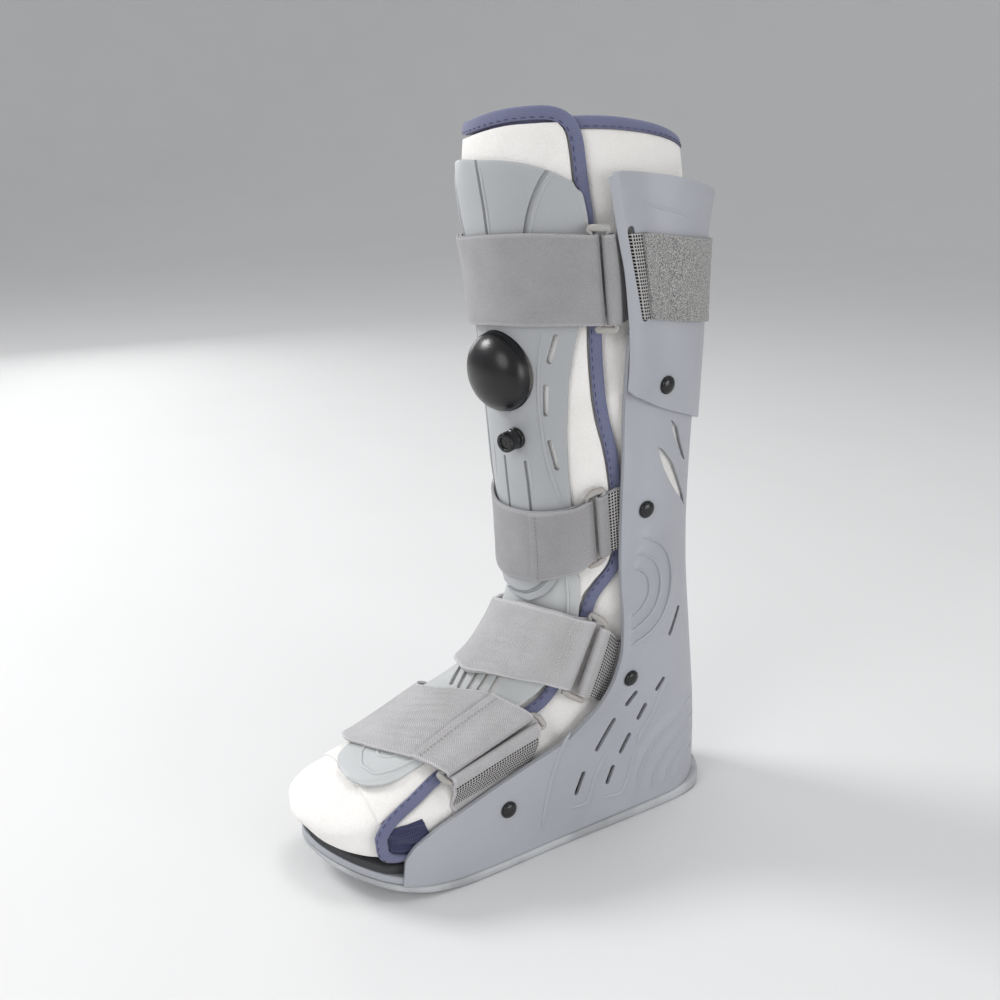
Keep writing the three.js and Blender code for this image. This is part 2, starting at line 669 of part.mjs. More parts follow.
// Shin plate with its pump hole, valve hole and oval vents
const frontEdge = column(frontPlateEdge, 'at', 'angle');
const footEdge = column(footPlateEdge, 'at', 'angle');
const plateAngle = (edge, at, u) => plateTurn + (2 * u - 1) * (edge(at) - plateTurn);
const frontRows = [0.8, 1.1, 1.5, 2.2, 3, 4, 5, 5.6, 6.2, 6.7, 6.95];
const tongueLift = (at) => (tongueBase - plateBase) * THREE.MathUtils.smoothstep(at, 5.5, 6.1);
const frontPlate = bootPatch(frontRows.length, 10, (u, v) => {
  const at = frontRows[Math.round(v * (frontRows.length - 1))];
  const shoulder = 0.45 * Math.abs(2 * u - 1) ** 3 * THREE.MathUtils.smoothstep(1.6 - at, 0, 0.8);
  return { at: at + shoulder, angle: plateAngle(frontEdge, at, u) };
}, (at) => plateBase + tongueLift(at), (at) => plateBase + frontPlateWall + 0.8 * tongueLift(at));
const pumpFrame = bootFrame(pumpSection, plateTurn, flapBase + flapWall);
const valveFrame = bootFrame(valveSection, valveTurn, plateBase + frontPlateWall);
const pumpHole = new THREE.CylinderGeometry(pumpRadius + 0.5, pumpRadius + 0.5, 40, 24);
pumpHole.rotateX(Math.PI / 2);
const pumpTurn = new THREE.Quaternion().setFromUnitVectors(new THREE.Vector3(0, 0, 1), pumpFrame.out);
pumpHole.applyQuaternion(pumpTurn);
pumpHole.translate(...pumpFrame.place.toArray());
const frontCutters = [pumpHole];
for (const vent of frontVents) {
  const mirrored = { ...vent, angle: 2 * plateTurn - vent.angle, toAngle: 2 * plateTurn - vent.toAngle };
  frontCutters.push(bootSlot(vent, frontVentWidth, plateBase + 1.5));
  frontCutters.push(bootSlot(mirrored, frontVentWidth, plateBase + 1.5));
}
addPiece('front_plate', cutBy(frontPlate, frontCutters), 'plate');

// Instep plate with its slots
const footRows = [5.95, 6.2, 6.7, 7.3, 8, 9, 10, 12, 13, 14, 15, 15.6, 16, 16.22];
const footPlate = bootPatch(footRows.length, 8, (u, v) => {
  const at = footRows[Math.round(v * (footRows.length - 1))];
  return { at, angle: plateAngle(footEdge, at, u) };
}, () => plateBase, () => plateBase + footPlateWall);
const footCutters = footVents.map((vent) => bootSlot(vent, footVentWidth, plateBase + 1));
addPiece('foot_plate', cutBy(footPlate, footCutters), 'footPlate');

// Pump bulb, and valve with its turning knob
function turned(profile, frame, segments) {
  const points = profile.map(({ radius, height }) => new THREE.Vector2(radius, height));
  const geometry = new THREE.LatheGeometry(points, segments);
  geometry.deleteAttribute('normal');
  geometry.deleteAttribute('uv');
  const merged = mergeVertices(geometry, 1e-4);
  const turn = new THREE.Quaternion().setFromUnitVectors(new THREE.Vector3(0, 1, 0), frame.out);
  merged.applyQuaternion(turn);
  merged.translate(...frame.place.toArray());
  return body(pointsOf(merged), facesOf(merged));
}
function pointsOf(geometry) {
  const position = geometry.attributes.position;
  const point = (_, i) => new THREE.Vector3().fromBufferAttribute(position, i);
  return Array.from({ length: position.count }, point);
}
function facesOf(geometry) {
  const faces = [];
  const index = geometry.index.array;
  for (let i = 0; i < index.length; i += 3) {
    const face = [index[i], index[i + 1], index[i + 2]];
    if (new Set(face).size === 3) faces.push(face);
  }
  return faces;
}
const pumpProfile = [
  { radius: 0, height: clear },
  { radius: pumpRadius, height: clear },
  { radius: pumpRadius, height: 4.6 },
  { radius: 0.965 * pumpRadius, height: 7.4 },
  { radius: 0.86 * pumpRadius, height: 0.62 * pumpHeight },
  { radius: 0.68 * pumpRadius, height: 0.81 * pumpHeight },
  { radius: 0.38 * pumpRadius, height: 0.95 * pumpHeight },
  { radius: 0, height: pumpHeight },
];
addPiece('pump_bulb', turned(pumpProfile, pumpFrame, 24), 'black');
const valveFoot = 2.4;
addPiece('valve_base', turned([
  { radius: 0, height: 0 },
  { radius: valveRadius + 0.5, height: 0 },
  { radius: valveRadius + 0.5, height: valveFoot },
  { radius: 0, height: valveFoot },
], valveFrame, 20), 'black');
addPiece('valve_knob', turned([
  { radius: 0, height: valveFoot + 0.3 },
  { radius: valveRadius, height: valveFoot + 0.3 },
  { radius: valveRadius, height: valveFoot + valveLength - 1 },
  { radius: valveRadius - 1, height: valveFoot + valveLength },
  { radius: valveRadius - 2.4, height: valveFoot + valveLength },
  { radius: valveRadius - 2.8, height: valveFoot + valveLength - 1.4 },
  { radius: 0, height: valveFoot + valveLength - 1.4 },
], valveFrame, 20), 'black');

// Sole and footbed as lofts from heel to toe
function loft(sections) {
  const count = sections[0].length;
  const points = sections.flat();
  const faces = [];
  for (let i = 0; i < sections.length - 1; i += 1) {
    for (let j = 0; j < count; j += 1) {
      const k = (j + 1) % count;
      const a = i * count;
      const b = a + count;
      faces.push([a + j, a + k, b + k], [a + j, b + k, b + j]);
    }
  }
  const end = (sections.length - 1) * count;
  for (let j = 1; j < count - 1; j += 1) {
    faces.push([0, j + 1, j], [end, end + j, end + j + 1]);
  }
  return body(points, faces);
}
const soleTop = column(soleStations, 'y', 'top');
const soleHalf = column(soleStations, 'y', 'half');
const soleShift = column(soleStations, 'y', 'shift');
addPiece('outsole', loft(soleStations.map(({ y, half, bottom, top, shift }) => {
  const round = Math.min(soleRound, half / 2, (top - bottom) / 2);
  const section = [
    [half - 0.6, top], [half, top - 0.6], [half, bottom + round], [half - round, bottom],
    [round - half, bottom], [-half, bottom + round], [-half, top - 0.6], [0.6 - half, top],
  ];
  return section.map(([x, z]) => new THREE.Vector3(x + shift, y, z));
})), 'sole');

// Foot and ankle shell: a wall round the heel on a floor that reaches the toe
const outline = ['back', 'half', 'front'];
const shellAt = Object.fromEntries(outline.map((key) => [key, column(shellRows, 'z', key)]));
const planHalf = column(footPlan, 'back', 'half');
function ovalHalf(distance, half, depth) {
  const reach = Math.min(distance / depth, 1);
  return half * Math.sqrt(Math.max(0, 1 - (1 - reach) ** 2));
}
function shellHalf(y, z) {
  const distance = Math.max(shellAt.back(z) - y, 0);
  const foot = distance < heelDepth ? ovalHalf(distance, heelHalf, heelDepth) : planHalf(distance);
  const leg = THREE.MathUtils.smoothstep(z, shellBlendLow, shellBlendHigh);
  const ankle = THREE.MathUtils.smoothstep(z, 60, 100) * (1 - THREE.MathUtils.smoothstep(z, 250, 285));
  const flare = shellFlare * ankle * (1 - THREE.MathUtils.smoothstep(y - shellAt.front(z), 0, flareReach));
  return THREE.MathUtils.lerp(foot, ovalHalf(distance, shellAt.half(z), legDepth), leg) + flare;
}
const floorTop = (y) => soleTop(y) + clear + floorThickness;
const rowHeights = shellRows.map((row) => row.z);
const shellSpan = 11;
function shellGrid(depth) {
  return rowHeights.map((z, row) => {
    const line = [];
    for (let j = -shellSpan; j <= shellSpan; j += 1) {
      const share = Math.abs(j) / shellSpan;
      const back = shellAt.back(z) - depth;
      const y = back - (back - shellAt.front(z)) * (1 - Math.cos((share * Math.PI) / 2)) ** 0.95;
      const slim = depth * Math.sin(Math.min(share * 3.2, 1) * Math.PI * 0.5);
      const x = Math.sign(j) * Math.max(shellHalf(y + depth * (1 - share) ** 2, z) - slim, 0);
      line.push(new THREE.Vector3(x, y, row === 0 ? floorTop(y) - 1.5 : z));
    }
    return line;
  });
}
const floorStations = soleStations.map(({ y }) => (y > 100 ? y - 1.2 : y));
const shellFloor = loft(floorStations.map((y) => {
  const wallHalf = y > -90 ? shellHalf(y, 12) - 0.3 : 99;
  const half = Math.max(Math.min(soleHalf(y) - floorInset, wallHalf), 4);
  const low = soleTop(y) + clear;
  const high = floorTop(y);
  const section = [
    [half - 1, high], [half, high - 1], [half, low], [-half, low], [-half, high - 1], [1 - half, high],
  ];
  return section.map(([x, z]) => new THREE.Vector3(x + soleShift(y), y, z));
}));

// Footbed between the shell's floor and the bootie
const footbedTop = column(
  linerSections.slice(11).map((row) => ({ y: row.backY, z: row.backZ - 0.7 })),
  'y',
  'z',
);
const footbedStations = [
  135.4, 133.5, 129, 120, 105, 80, 40, 0, -40, -70, -90, -103, -112, -124, -133, -138.4, -140.4,
];
addPiece('footbed', loft(footbedStations.map((y) => {
  const beside = Math.min(shellHalf(y + shellWall + 0.8, 16), shellHalf(y - 2, 16)) - shellWall - 1.6;
  const wallHalf = y > shellToeEnd - 6 ? beside : 99;
  const half = Math.max(Math.min(soleHalf(y) - footbedInset, wallHalf), 3);
  const low = floorTop(y) + clear;
  const high = Math.max(footbedTop(y), low + 3);
  const section = [[half, low], [-half, low], [-half, high], [half, high]];
  return section.map(([x, z]) => new THREE.Vector3(x + soleShift(y), y, z));
})), 'footbed');
const shellCutters = [];
for (const sign of [1, -1]) {
  for (const { y, z, toY, toZ } of shellSlots) {
    const place = new THREE.Vector3(sign * 52, (y + toY) / 2, (z + toZ) / 2);
    const side = new THREE.Vector3(0, toY - y, toZ - z);
    shellCutters.push(sidePrism(slotOutline(side.length(), shellSlotWidth), place, side, sign));
  }
  for (const hook of shellHooks) {
    const options = { depth: 44, bevelEnabled: false, curveSegments: 3 };
    const cutter = new THREE.ExtrudeGeometry(hookOutline(hook), options);
    const frame = new THREE.Matrix4().makeBasis(
      new THREE.Vector3(0, 1, 0), new THREE.Vector3(0, 0, 1), new THREE.Vector3(1, 0, 0));
    cutter.applyMatrix4(frame);
    cutter.translate(sign > 0 ? 30 : -74, 0, 0);
    shellCutters.push(cutter);
  }
}
addPiece('foot_shell', cutBy(wall(shellGrid(0), shellGrid(shellWall)), shellCutters, shellFloor), 'shell');

// Calf cuff with the slots of its strap
const cuffAt = Object.fromEntries(outline.map((key) => [key, column(cuffRows, 'z', key)]));
function cuffHalf(y, z) {
  const flare = cuffFlare * (1 - THREE.MathUtils.smoothstep(y - cuffAt.front(z), 0, cuffFlareReach));
  return ovalHalf(Math.max(cuffAt.back(z) - y, 0), cuffAt.half(z), cuffDepth) + flare;
}
const cuffLowAt = column(cuffLow, 'share', 'z');
const cuffSpan = 11;
function cuffGrid(depth) {
  const lines = [];
  for (let row = 0; row <= 6; row += 1) {
    const line = [];
    for (let j = -cuffSpan; j <= cuffSpan; j += 1) {
      const share = Math.abs(j) / cuffSpan;
      const rise = THREE.MathUtils.smoothstep(share, 0.1, 1);
      const low = cuffLowAt(share);
      const top = THREE.MathUtils.lerp(cuffTopBack, cuffTopFront, rise);
      const z = THREE.MathUtils.lerp(low, top, row / 6);
      const back = cuffAt.back(z) - depth;
      const y = back - (back - cuffAt.front(z)) * (1 - Math.cos((share * Math.PI) / 2));
      const raw = cuffHalf(y + depth * (1 - share) ** 2, z);
      const slim = depth * Math.sin(Math.min(share * 2.4, 1) * Math.PI * 0.5);
      line.push(new THREE.Vector3(Math.sign(j) * Math.max(raw - slim, 0), y, z));
    }
    lines.push(line);
  }
  return lines;
}
const slotSide = new THREE.Vector3(0, cuffSlot.lowY - cuffSlot.topY, cuffSlot.lowZ - cuffSlot.topZ);
const cuffCutters = [1, -1].map((sign) => {
  const slotY = (cuffSlot.topY + cuffSlot.lowY) / 2;
  const slotZ = (cuffSlot.topZ + cuffSlot.lowZ) / 2;
  const place = new THREE.Vector3(sign * 64, slotY, slotZ);
  return sidePrism(slotOutline(slotSide.length() + 4, cuffSlot.width), place, slotSide, sign);
});
addPiece('calf_cuff', cutBy(wall(cuffGrid(0), cuffGrid(cuffWall)), cuffCutters), 'shell');

// Band of webbing along rows of points that run side by side
function band(rows, thickness) {
  const last = rows[0].length - 1;
  const shift = (sign) => rows.map((row) => row.map((point, i) => {
    const along = row[Math.min(i + 1, last)].clone().sub(row[Math.max(i - 1, 0)]).normalize();
    const across = rows[rows.length - 1][i].clone().sub(rows[0][i]).normalize();
    const out = new THREE.Vector3().crossVectors(along, across).normalize();
    return point.clone().addScaledVector(out, (sign * thickness) / 2);
  }));
  return wall(shift(1), shift(-1));
}

// Closed round bar along a loop of points
function loopBar(points, radius, out, sides) {
  const count = points.length;
  const rings = points.map((point, i) => {
    const along = points[(i + 1) % count].clone().sub(points[(i + count - 1) % count]).normalize();
    const across = new THREE.Vector3().crossVectors(along, out).normalize();
    const up = new THREE.Vector3().crossVectors(across, along).normalize();
    return Array.from({ length: sides }, (_, k) => {
      const turn = (2 * Math.PI * k) / sides;
      return point.clone()
        .addScaledVector(across, radius * Math.cos(turn))
        .addScaledVector(up, radius * Math.sin(turn));
    });
  });
  const faces = [];
  for (let i = 0; i < count; i += 1) {
    for (let k = 0; k < sides; k += 1) {
      const a = i * sides + k;
      const b = i * sides + ((k + 1) % sides);
      const c = ((i + 1) % count) * sides + ((k + 1) % sides);
      const d = ((i + 1) % count) * sides + k;
      faces.push([a, b, c], [a, c, d]);
    }
  }
  return body(rings.flat(), faces);
}

// Straps, rings and anchors
for (const closure of closures) {
  const { name, ring, end, base, edge, edgeHeight, drop, anchor } = closure;
  const strapShares = Array.from({ length: closure.rows }, (_, i) => i / (closure.rows - 1));
  const topAt = column(closure.edges, 'angle', 'top');
  const lowAt = column(closure.edges, 'angle', 'low');
  const sectionAt = (angle, share) => {
    const turn = Math.max(angle, closure.edges[0].angle);
    return THREE.MathUtils.lerp(topAt(turn), lowAt(turn), share);
  };
  const place = (angle, share, height, weight) => {
    const top = boot(sectionAt(angle, 0), angle, height);
    const line = top.lerp(boot(sectionAt(angle, 1), angle, height), share);
    return boot(sectionAt(angle, share), angle, height).lerp(line, weight);
  };
  const halfTurn = barSpacing / 2 / (sectionOf.half(sectionAt(ring, 0.5)) + base) / degree;
  const frontBar = ring - halfTurn;
  const rearBar = ring + halfTurn;
  const seats = [frontBar, rearBar].map((angle) => [place(angle, 0, base, 1), place(angle, 1, base, 1)]);
  const out = new THREE.Vector3().crossVectors(
    seats[0][1].clone().sub(seats[0][0]),
    seats[1][0].clone().add(seats[1][1]).sub(seats[0][0]).sub(seats[0][1]),
  ).normalize();
  if (out.x < 0) out.negate();
  const barEnds = seats.map(([top, low]) => ({
    top: top.clone().addScaledVector(out, foldRadius),
    low: low.clone().addScaledVector(out, foldRadius),
    down: low.clone().sub(top).normalize(),
  }));
  const lift = (point, angle, share, extra, weight) => {
    const local = bootFrame(sectionAt(angle, share), angle, base).out.lerp(out, weight).normalize();
    return point.addScaledVector(local, extra);
  };

  // Ring
  const corners = [
    barEnds[0].top.clone().addScaledVector(barEnds[0].down, -ringOverhang),
    barEnds[0].low.clone().addScaledVector(barEnds[0].down, ringOverhang),
    barEnds[1].low.clone().addScaledVector(barEnds[1].down, ringOverhang),
    barEnds[1].top.clone().addScaledVector(barEnds[1].down, -ringOverhang),
  ];
  const loop = [];
  corners.forEach((corner, i) => {
    const before = corners[(i + 3) % 4].clone().sub(corner).normalize();
    const after = corners[(i + 1) % 4].clone().sub(corner).normalize();
    for (const t of [0, 0.5, 1]) {
      const start = corner.clone().addScaledVector(before, 3 * (1 - t) * (1 - t));
      loop.push(start.addScaledVector(after, 3 * t * t));
    }
  });
  addPiece(`ring_${name}`, loopBar(loop, barRadius, out, 6), 'ring');

  // Strap: under layer from the far side, fold round the front bar, outer layer back to its end
  const bend = (share, which, sign) => {
    const { top, low } = barEnds[which];
    const centre = top.clone().lerp(low, share);
    const ahead = new THREE.Vector3().crossVectors(barEnds[which].down, out).normalize();
    if (ahead.dot(barEnds[1].top.clone().sub(barEnds[0].top)) < 0) ahead.negate();
    return [0.1, 0.3, 0.5, 0.7, 0.9].map((t) => centre.clone()
      .addScaledVector(out, -foldRadius * Math.cos(t * Math.PI))
      .addScaledVector(ahead, sign * foldRadius * Math.sin(t * Math.PI)));
  };
  const strapRows = strapShares.map((share) => {
    const over = THREE.MathUtils.lerp(closure.overTop, closure.overLow, Math.min(2 * share, 1));
    const under = column([
      { angle: -anchor, height: 1.25 },
      { angle: -edge - 4, height: 1.4 },
      { angle: -edge, height: 2 },
      { angle: -edge + 14, height: Math.min(over, 5.6) },
      { angle: -40, height: over },
      { angle: 44, height: over },
      { angle: frontBar, height: base },
    ], 'angle', 'height');
    const line = [];
    const weight = (angle) => THREE.MathUtils.smoothstep(angle, frontBar - 28, frontBar - 8);
    for (let i = 0; i <= 15; i += 1) {
      const angle = THREE.MathUtils.lerp(-anchor, frontBar, i / 15);
      line.push(place(angle, share, under(angle), weight(angle)));
    }
    line.push(...bend(share, 0, 1));
    const backSteps = Math.max(5, Math.round((frontBar - end) / 10));
    for (let i = 0; i <= backSteps; i += 1) {
      const angle = THREE.MathUtils.lerp(frontBar, end, i / backSteps);
      const near = THREE.MathUtils.smoothstep(angle, frontBar - 16, frontBar);
      const apart = THREE.MathUtils.lerp(webbing + clear, 2 * foldRadius, near);
      line.push(lift(place(angle, share, under(angle), weight(angle)), angle, share, apart, near));
    }
    return line;
  });
  addPiece(`strap_${name}`, band(strapRows, webbing), 'webbing');

  // Anchor: from inside the shell to the rear bar, round it and a short way back
  const anchorRows = strapShares.map((share) => {
    const height = column([
      { angle: rearBar, height: base },
      { angle: 0.55 * rearBar + 0.45 * edge, height: 0.85 * base + 0.15 * edgeHeight },
      { angle: edge, height: edgeHeight },
      { angle: edge + drop, height: 0.35 * edgeHeight + 0.6 },
      { angle: anchor, height: 1.25 },
    ], 'angle', 'height');
    const weight = (angle) => 1 - THREE.MathUtils.smoothstep(angle, rearBar, edge);
    const line = [];
    for (let i = 0; i <= 9; i += 1) {
      const angle = THREE.MathUtils.lerp(anchor, rearBar, i / 9);
      line.push(place(angle, share, height(angle), weight(angle)));
    }
    line.push(...bend(share, 1, -1));
    const backEnd = Math.max(THREE.MathUtils.lerp(rearBar, edge, 0.55), rearBar + 7);
    for (let i = 0; i <= 4; i += 1) {
      const angle = THREE.MathUtils.lerp(rearBar, backEnd, i / 4);
      const near = 1 - THREE.MathUtils.smoothstep(angle, rearBar, backEnd);
      const apart = THREE.MathUtils.lerp(webbing + clear, 2 * foldRadius, near);
      line.push(lift(place(angle, share, height(angle), weight(angle)), angle, share, apart, near));
    }
    return line;
  });
  addPiece(`anchor_${name}`, band(anchorRows, webbing), 'webbing');
}

// Loop tape round the outside of the cuff, turned in at both slots
const tapeLow = cuffSlot.lowZ + 2;
const tapeTop = cuffSlot.topZ - 2;
const tapeSteps = 15;
const tapeRows = [0, 0.5, 1].map((share) => {
  const level = THREE.MathUtils.lerp(tapeTop, tapeLow, share);
  const fall = THREE.MathUtils.lerp(tapeFallTop, tapeFallLow, share);
  const slotShare = (level - cuffSlot.lowZ) / (cuffSlot.topZ - cuffSlot.lowZ);
  const slotY = THREE.MathUtils.lerp(cuffSlot.lowY, cuffSlot.topY, slotShare);
  const rise = clear + webbing / 2 + 0.55;
  const half = [];
  half.push(new THREE.Vector3(cuffHalf(slotY, level) - 3.6, slotY - 0.2, level));
  half.push(new THREE.Vector3(cuffHalf(slotY, level) - 1, slotY + 0.2, level));
  for (let i = 0; i <= tapeSteps; i += 1) {
    const share2 = 1 - i / tapeSteps;
    const z = level - fall * Math.cos((share2 * Math.PI) / 2);
    const back = cuffAt.back(z) + rise;
    const y = back - (back - slotY - 3.4) * (1 - Math.cos((share2 * Math.PI) / 2));
    const x = cuffHalf(Math.min(y - rise * (1 - share2) ** 2, cuffAt.back(z)), z);
    const wide = rise * Math.sin(Math.min(share2 * 2.4, 1) * Math.PI * 0.5);
    half.push(new THREE.Vector3(x + wide, y, z));
  }
  const other = half.slice(0, -1).reverse().map((point) => new THREE.Vector3(-point.x, point.y, point.z));
  return [...half, ...other];
});
addPiece('calf_loop_tape', band(tapeRows, webbing), 'loop');

// Rivet heads on both sides
for (const { name, y, z, on } of rivets) {
  const half = on === 'cuff' ? cuffHalf : shellHalf;
  const slopeY = (half(y + 2, z) - half(y - 2, z)) / 4;
  const slopeZ = (half(y, z + 2) - half(y, z - 2)) / 4;
  for (const [label, sign] of [['near', 1], ['far', -1]]) {
    const frame = {
      place: new THREE.Vector3(sign * half(y, z), y, z),
      out: new THREE.Vector3(sign, -slopeY, -slopeZ).normalize(),
    };
    addPiece(`rivet_${name}_${label}`, turned([
      { radius: 0, height: 0.6 },
      { radius: rivetRadius, height: 0.6 },
      { radius: rivetRadius, height: 1.1 },
      { radius: 0.72 * rivetRadius, height: 0.85 * rivetHeight + 0.3 },
      { radius: 0, height: rivetHeight + 0.5 },
    ], frame, 10), 'black');
  }
}

// Origin under the middle of the whole piece
const box = new THREE.Box3().setFromObject(group);
const middle = box.getCenter(new THREE.Vector3());
group.children.forEach((mesh) => mesh.geometry.translate(-middle.x, -middle.y, -box.min.z));

export default group;
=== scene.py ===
import math
import bpy
import numpy as np
from mathutils import Matrix, Vector


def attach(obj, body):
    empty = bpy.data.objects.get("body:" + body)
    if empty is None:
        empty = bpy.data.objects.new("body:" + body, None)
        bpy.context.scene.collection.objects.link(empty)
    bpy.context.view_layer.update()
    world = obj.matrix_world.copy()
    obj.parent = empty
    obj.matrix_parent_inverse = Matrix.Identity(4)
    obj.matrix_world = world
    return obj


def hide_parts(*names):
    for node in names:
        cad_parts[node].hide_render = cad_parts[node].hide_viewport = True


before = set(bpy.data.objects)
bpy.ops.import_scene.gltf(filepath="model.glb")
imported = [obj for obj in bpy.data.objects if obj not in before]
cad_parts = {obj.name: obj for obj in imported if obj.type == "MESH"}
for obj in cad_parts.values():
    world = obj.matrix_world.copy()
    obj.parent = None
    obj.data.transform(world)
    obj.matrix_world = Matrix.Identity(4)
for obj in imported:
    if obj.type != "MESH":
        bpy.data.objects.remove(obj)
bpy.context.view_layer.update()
print("frame loaded:", len(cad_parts), "nodes")

mm = 0.001
middleY = 4.1  # the drawing's zero lies this far from the middle of the box
gaps = {"merged": 0.000012, "flat": 0.000001}  # metres: points closer than this are one, edges shorter are none


# numbers

def smooth(x, a, b):
    t = np.clip((np.asarray(x, float) - a) / (b - a), 0, 1)
    return t * t * (3 - 2 * t)


def mix(a, b, t):
    return a + (b - a) * t


def unit(v):
    return v / np.maximum(np.linalg.norm(v, axis=-1, keepdims=True), 1e-9)


def through(xs, ys):  # curve through points that never overshoots them
    xs, ys = np.array(xs, float), np.array(ys, float)
    sign = -1 if xs[0] > xs[-1] else 1
    xs = xs * sign
    step = np.diff(ys) / np.diff(xs)
    slope = np.zeros_like(ys)
    slope[0], slope[-1] = step[0], step[-1]
    both = step[:-1] * step[1:]
    slope[1:-1] = np.where(both > 0, 2 * both / np.where(both > 0, step[:-1] + step[1:], 1), 0)

    def at(x):
        x = np.asarray(x, float) * sign
        c = np.clip(x, xs[0], xs[-1])
        i = np.clip(np.searchsorted(xs, c) - 1, 0, len(xs) - 2)
        w = xs[i + 1] - xs[i]
        t = (c - xs[i]) / w
        bend = slope[i] * w * t * (1 - t) ** 2 - slope[i + 1] * w * t * t * (1 - t)
        inside = ys[i] + (ys[i + 1] - ys[i]) * t * t * (3 - 2 * t) + bend
        return np.where(x < xs[0], ys[0] + slope[0] * (x - xs[0]), inside)
    return at


def ripple(points, size, seed):  # soft random waves over a set of points, about -1 to 1
    dice = np.random.default_rng(seed)
    total = 0
    for _ in range(9):
        way = unit(dice.normal(size=3))
        total = total + np.sin(points @ way * 2 * np.pi / (size * dice.uniform(0.7, 1.5)) + dice.uniform(0, 6.28))
    return total / 4.2


def spread(path, spacing):  # even points along a path
    path = np.asarray(path, float)
    far = np.concatenate([[0], np.cumsum(np.linalg.norm(np.diff(path, axis=0), axis=1))])
    marks = np.linspace(0, far[-1], max(2, int(round(far[-1] / spacing)) + 1))
    return np.stack([np.interp(marks, far, path[:, k]) for k in range(path.shape[1])], 1)


def rounded(path, spacing, passes=3):  # a path through few points with its corners eased
    path = spread(path, spacing)
    for _ in range(passes):
        path[1:-1] = 0.25 * path[:-2] + 0.5 * path[1:-1] + 0.25 * path[2:]
    return path


# modelling by hand

def pick(piece):
    bpy.ops.object.select_all(action="DESELECT")
    piece.select_set(True)
    bpy.context.view_layer.objects.active = piece


def flatSize(points):  # the cut that points[along, across] make when laid flat, in metres
    wide = np.linalg.norm(np.diff(points, axis=1), axis=-1).sum(1).mean() * mm
    long = np.linalg.norm(np.diff(points, axis=0), axis=-1).sum(0).mean() * mm
    return round(wide, 4), round(long, 4)


def gridPiece(name, points):  # a grid primitive laid over points[along, across], uv in metres
    along, across = points.shape[:2]
    bpy.ops.object.select_all(action="DESELECT")
    bpy.ops.mesh.primitive_grid_add(x_subdivisions=across - 1, y_subdivisions=along - 1, size=1, calc_uvs=True)
    piece = bpy.context.object
    piece.name = piece.data.name = name
    piece.data.vertices.foreach_set("co", ((points.reshape(-1, 3) + (0, middleY, 0)) * mm).ravel())
    wide, long = flatSize(points)
    uv = np.empty(len(piece.data.loops) * 2, np.float32)
    piece.data.uv_layers.active.data.foreach_get("uv", uv)
    piece.data.uv_layers.active.data.foreach_set("uv", (uv.reshape(-1, 2) * (wide, long)).astype(np.float32).ravel())
    piece.data.update()
    return piece


def weld(piece, fill=False, outward=True):  # merges seams and poles, closes ends, turns faces out
    pick(piece)
    bpy.ops.object.mode_set(mode="EDIT")
    bpy.ops.mesh.select_all(action="SELECT")
    bpy.ops.mesh.remove_doubles(threshold=gaps["merged"])
    if fill:
        bpy.ops.mesh.fill_holes(sides=0)
    bpy.ops.mesh.select_all(action="SELECT")
    if outward:
        bpy.ops.mesh.normals_make_consistent(inside=False)
    bpy.ops.object.mode_set(mode="OBJECT")
    return piece


def applied(piece, kind, **settings):
    pick(piece)
    modifier = piece.modifiers.new(kind.lower(), kind)
    for key, value in settings.items():
        setattr(modifier, key, value)
    bpy.ops.object.modifier_apply(modifier=modifier.name)
    return piece


def thickened(piece, wall, edge=0.0, offset=-1.0, even=True):  # a sheet given its wall and rounded edges
    applied(piece, "SOLIDIFY", thickness=wall * mm, offset=offset, use_even_offset=even)
    return softEdges(piece, edge) if edge else piece


def tapered(piece, share, inner=False):  # takes a share of the wall off one face of a thickened sheet
    points = np.empty(len(piece.data.vertices) * 3)
    piece.data.vertices.foreach_get("co", points)
    points, count, share = points.reshape(-1, 3), share.size, share.reshape(-1, 1)
    if inner:
        points[count:2 * count] = mix(points[count:2 * count], points[:count], share)
    else:
        points[:count] = mix(points[:count], points[count:2 * count], share)
    piece.data.vertices.foreach_set("co", points.ravel())
    piece.data.update()


def softEdges(piece, width, angle=50):  # rounds the edges that turn by more than the angle
    return applied(piece, "BEVEL", width=width * mm, segments=2, limit_method="ANGLE", angle_limit=math.radians(angle))


def tubePiece(name, loops, closed=False):  # loops[along, around] skinned, ends filled unless closed
    loops = np.concatenate([loops, loops[:, :1]], 1)
    if closed:
        loops = np.concatenate([loops, loops[:1]], 0)
    return weld(gridPiece(name, loops), fill=not closed)


def swept(path, across, out, section):  # section points (side, up) carried along a path
    side, up = np.asarray(section).T
    return path[:, None] + across[:, None] * side[None, :, None] + out[:, None] * up[None, :, None]


def squared(value, power):  # cosine or sine bent towards a rounded square
    return np.sign(value) * np.abs(value) ** (2 / power)


def joined(name, pieces):
    bpy.ops.object.select_all(action="DESELECT")
    for piece in pieces:
        piece.select_set(True)
    bpy.context.view_layer.objects.active = pieces[0]
    if len(pieces) > 1:
        bpy.ops.object.join()
    pieces[0].name = pieces[0].data.name = name
    return pieces[0]


def cutOut(piece, cutters):  # takes a list of closed cutters out of a piece
    cutter = joined("cutter", cutters)
    applied(piece, "BOOLEAN", object=cutter, operation="DIFFERENCE", solver="EXACT")
    bpy.data.objects.remove(cutter)
    return piece


def spunPiece(name, profile, place, out, steps):  # a profile of (radius, height) spun about an axis
    turn = np.linspace(0, 2 * np.pi, steps + 1)
    side = unit(np.cross(out, (0, 0, 1.0) if abs(out[2]) < 0.9 else (1.0, 0, 0)))
    ahead = np.cross(out, side)
    profile = np.asarray(profile, float)
    ring = np.cos(turn)[:, None] * side + np.sin(turn)[:, None] * ahead
    points = place + profile[:, 0][:, None, None] * ring[None] + profile[:, 1][:, None, None] * out
    return weld(gridPiece(name, points))


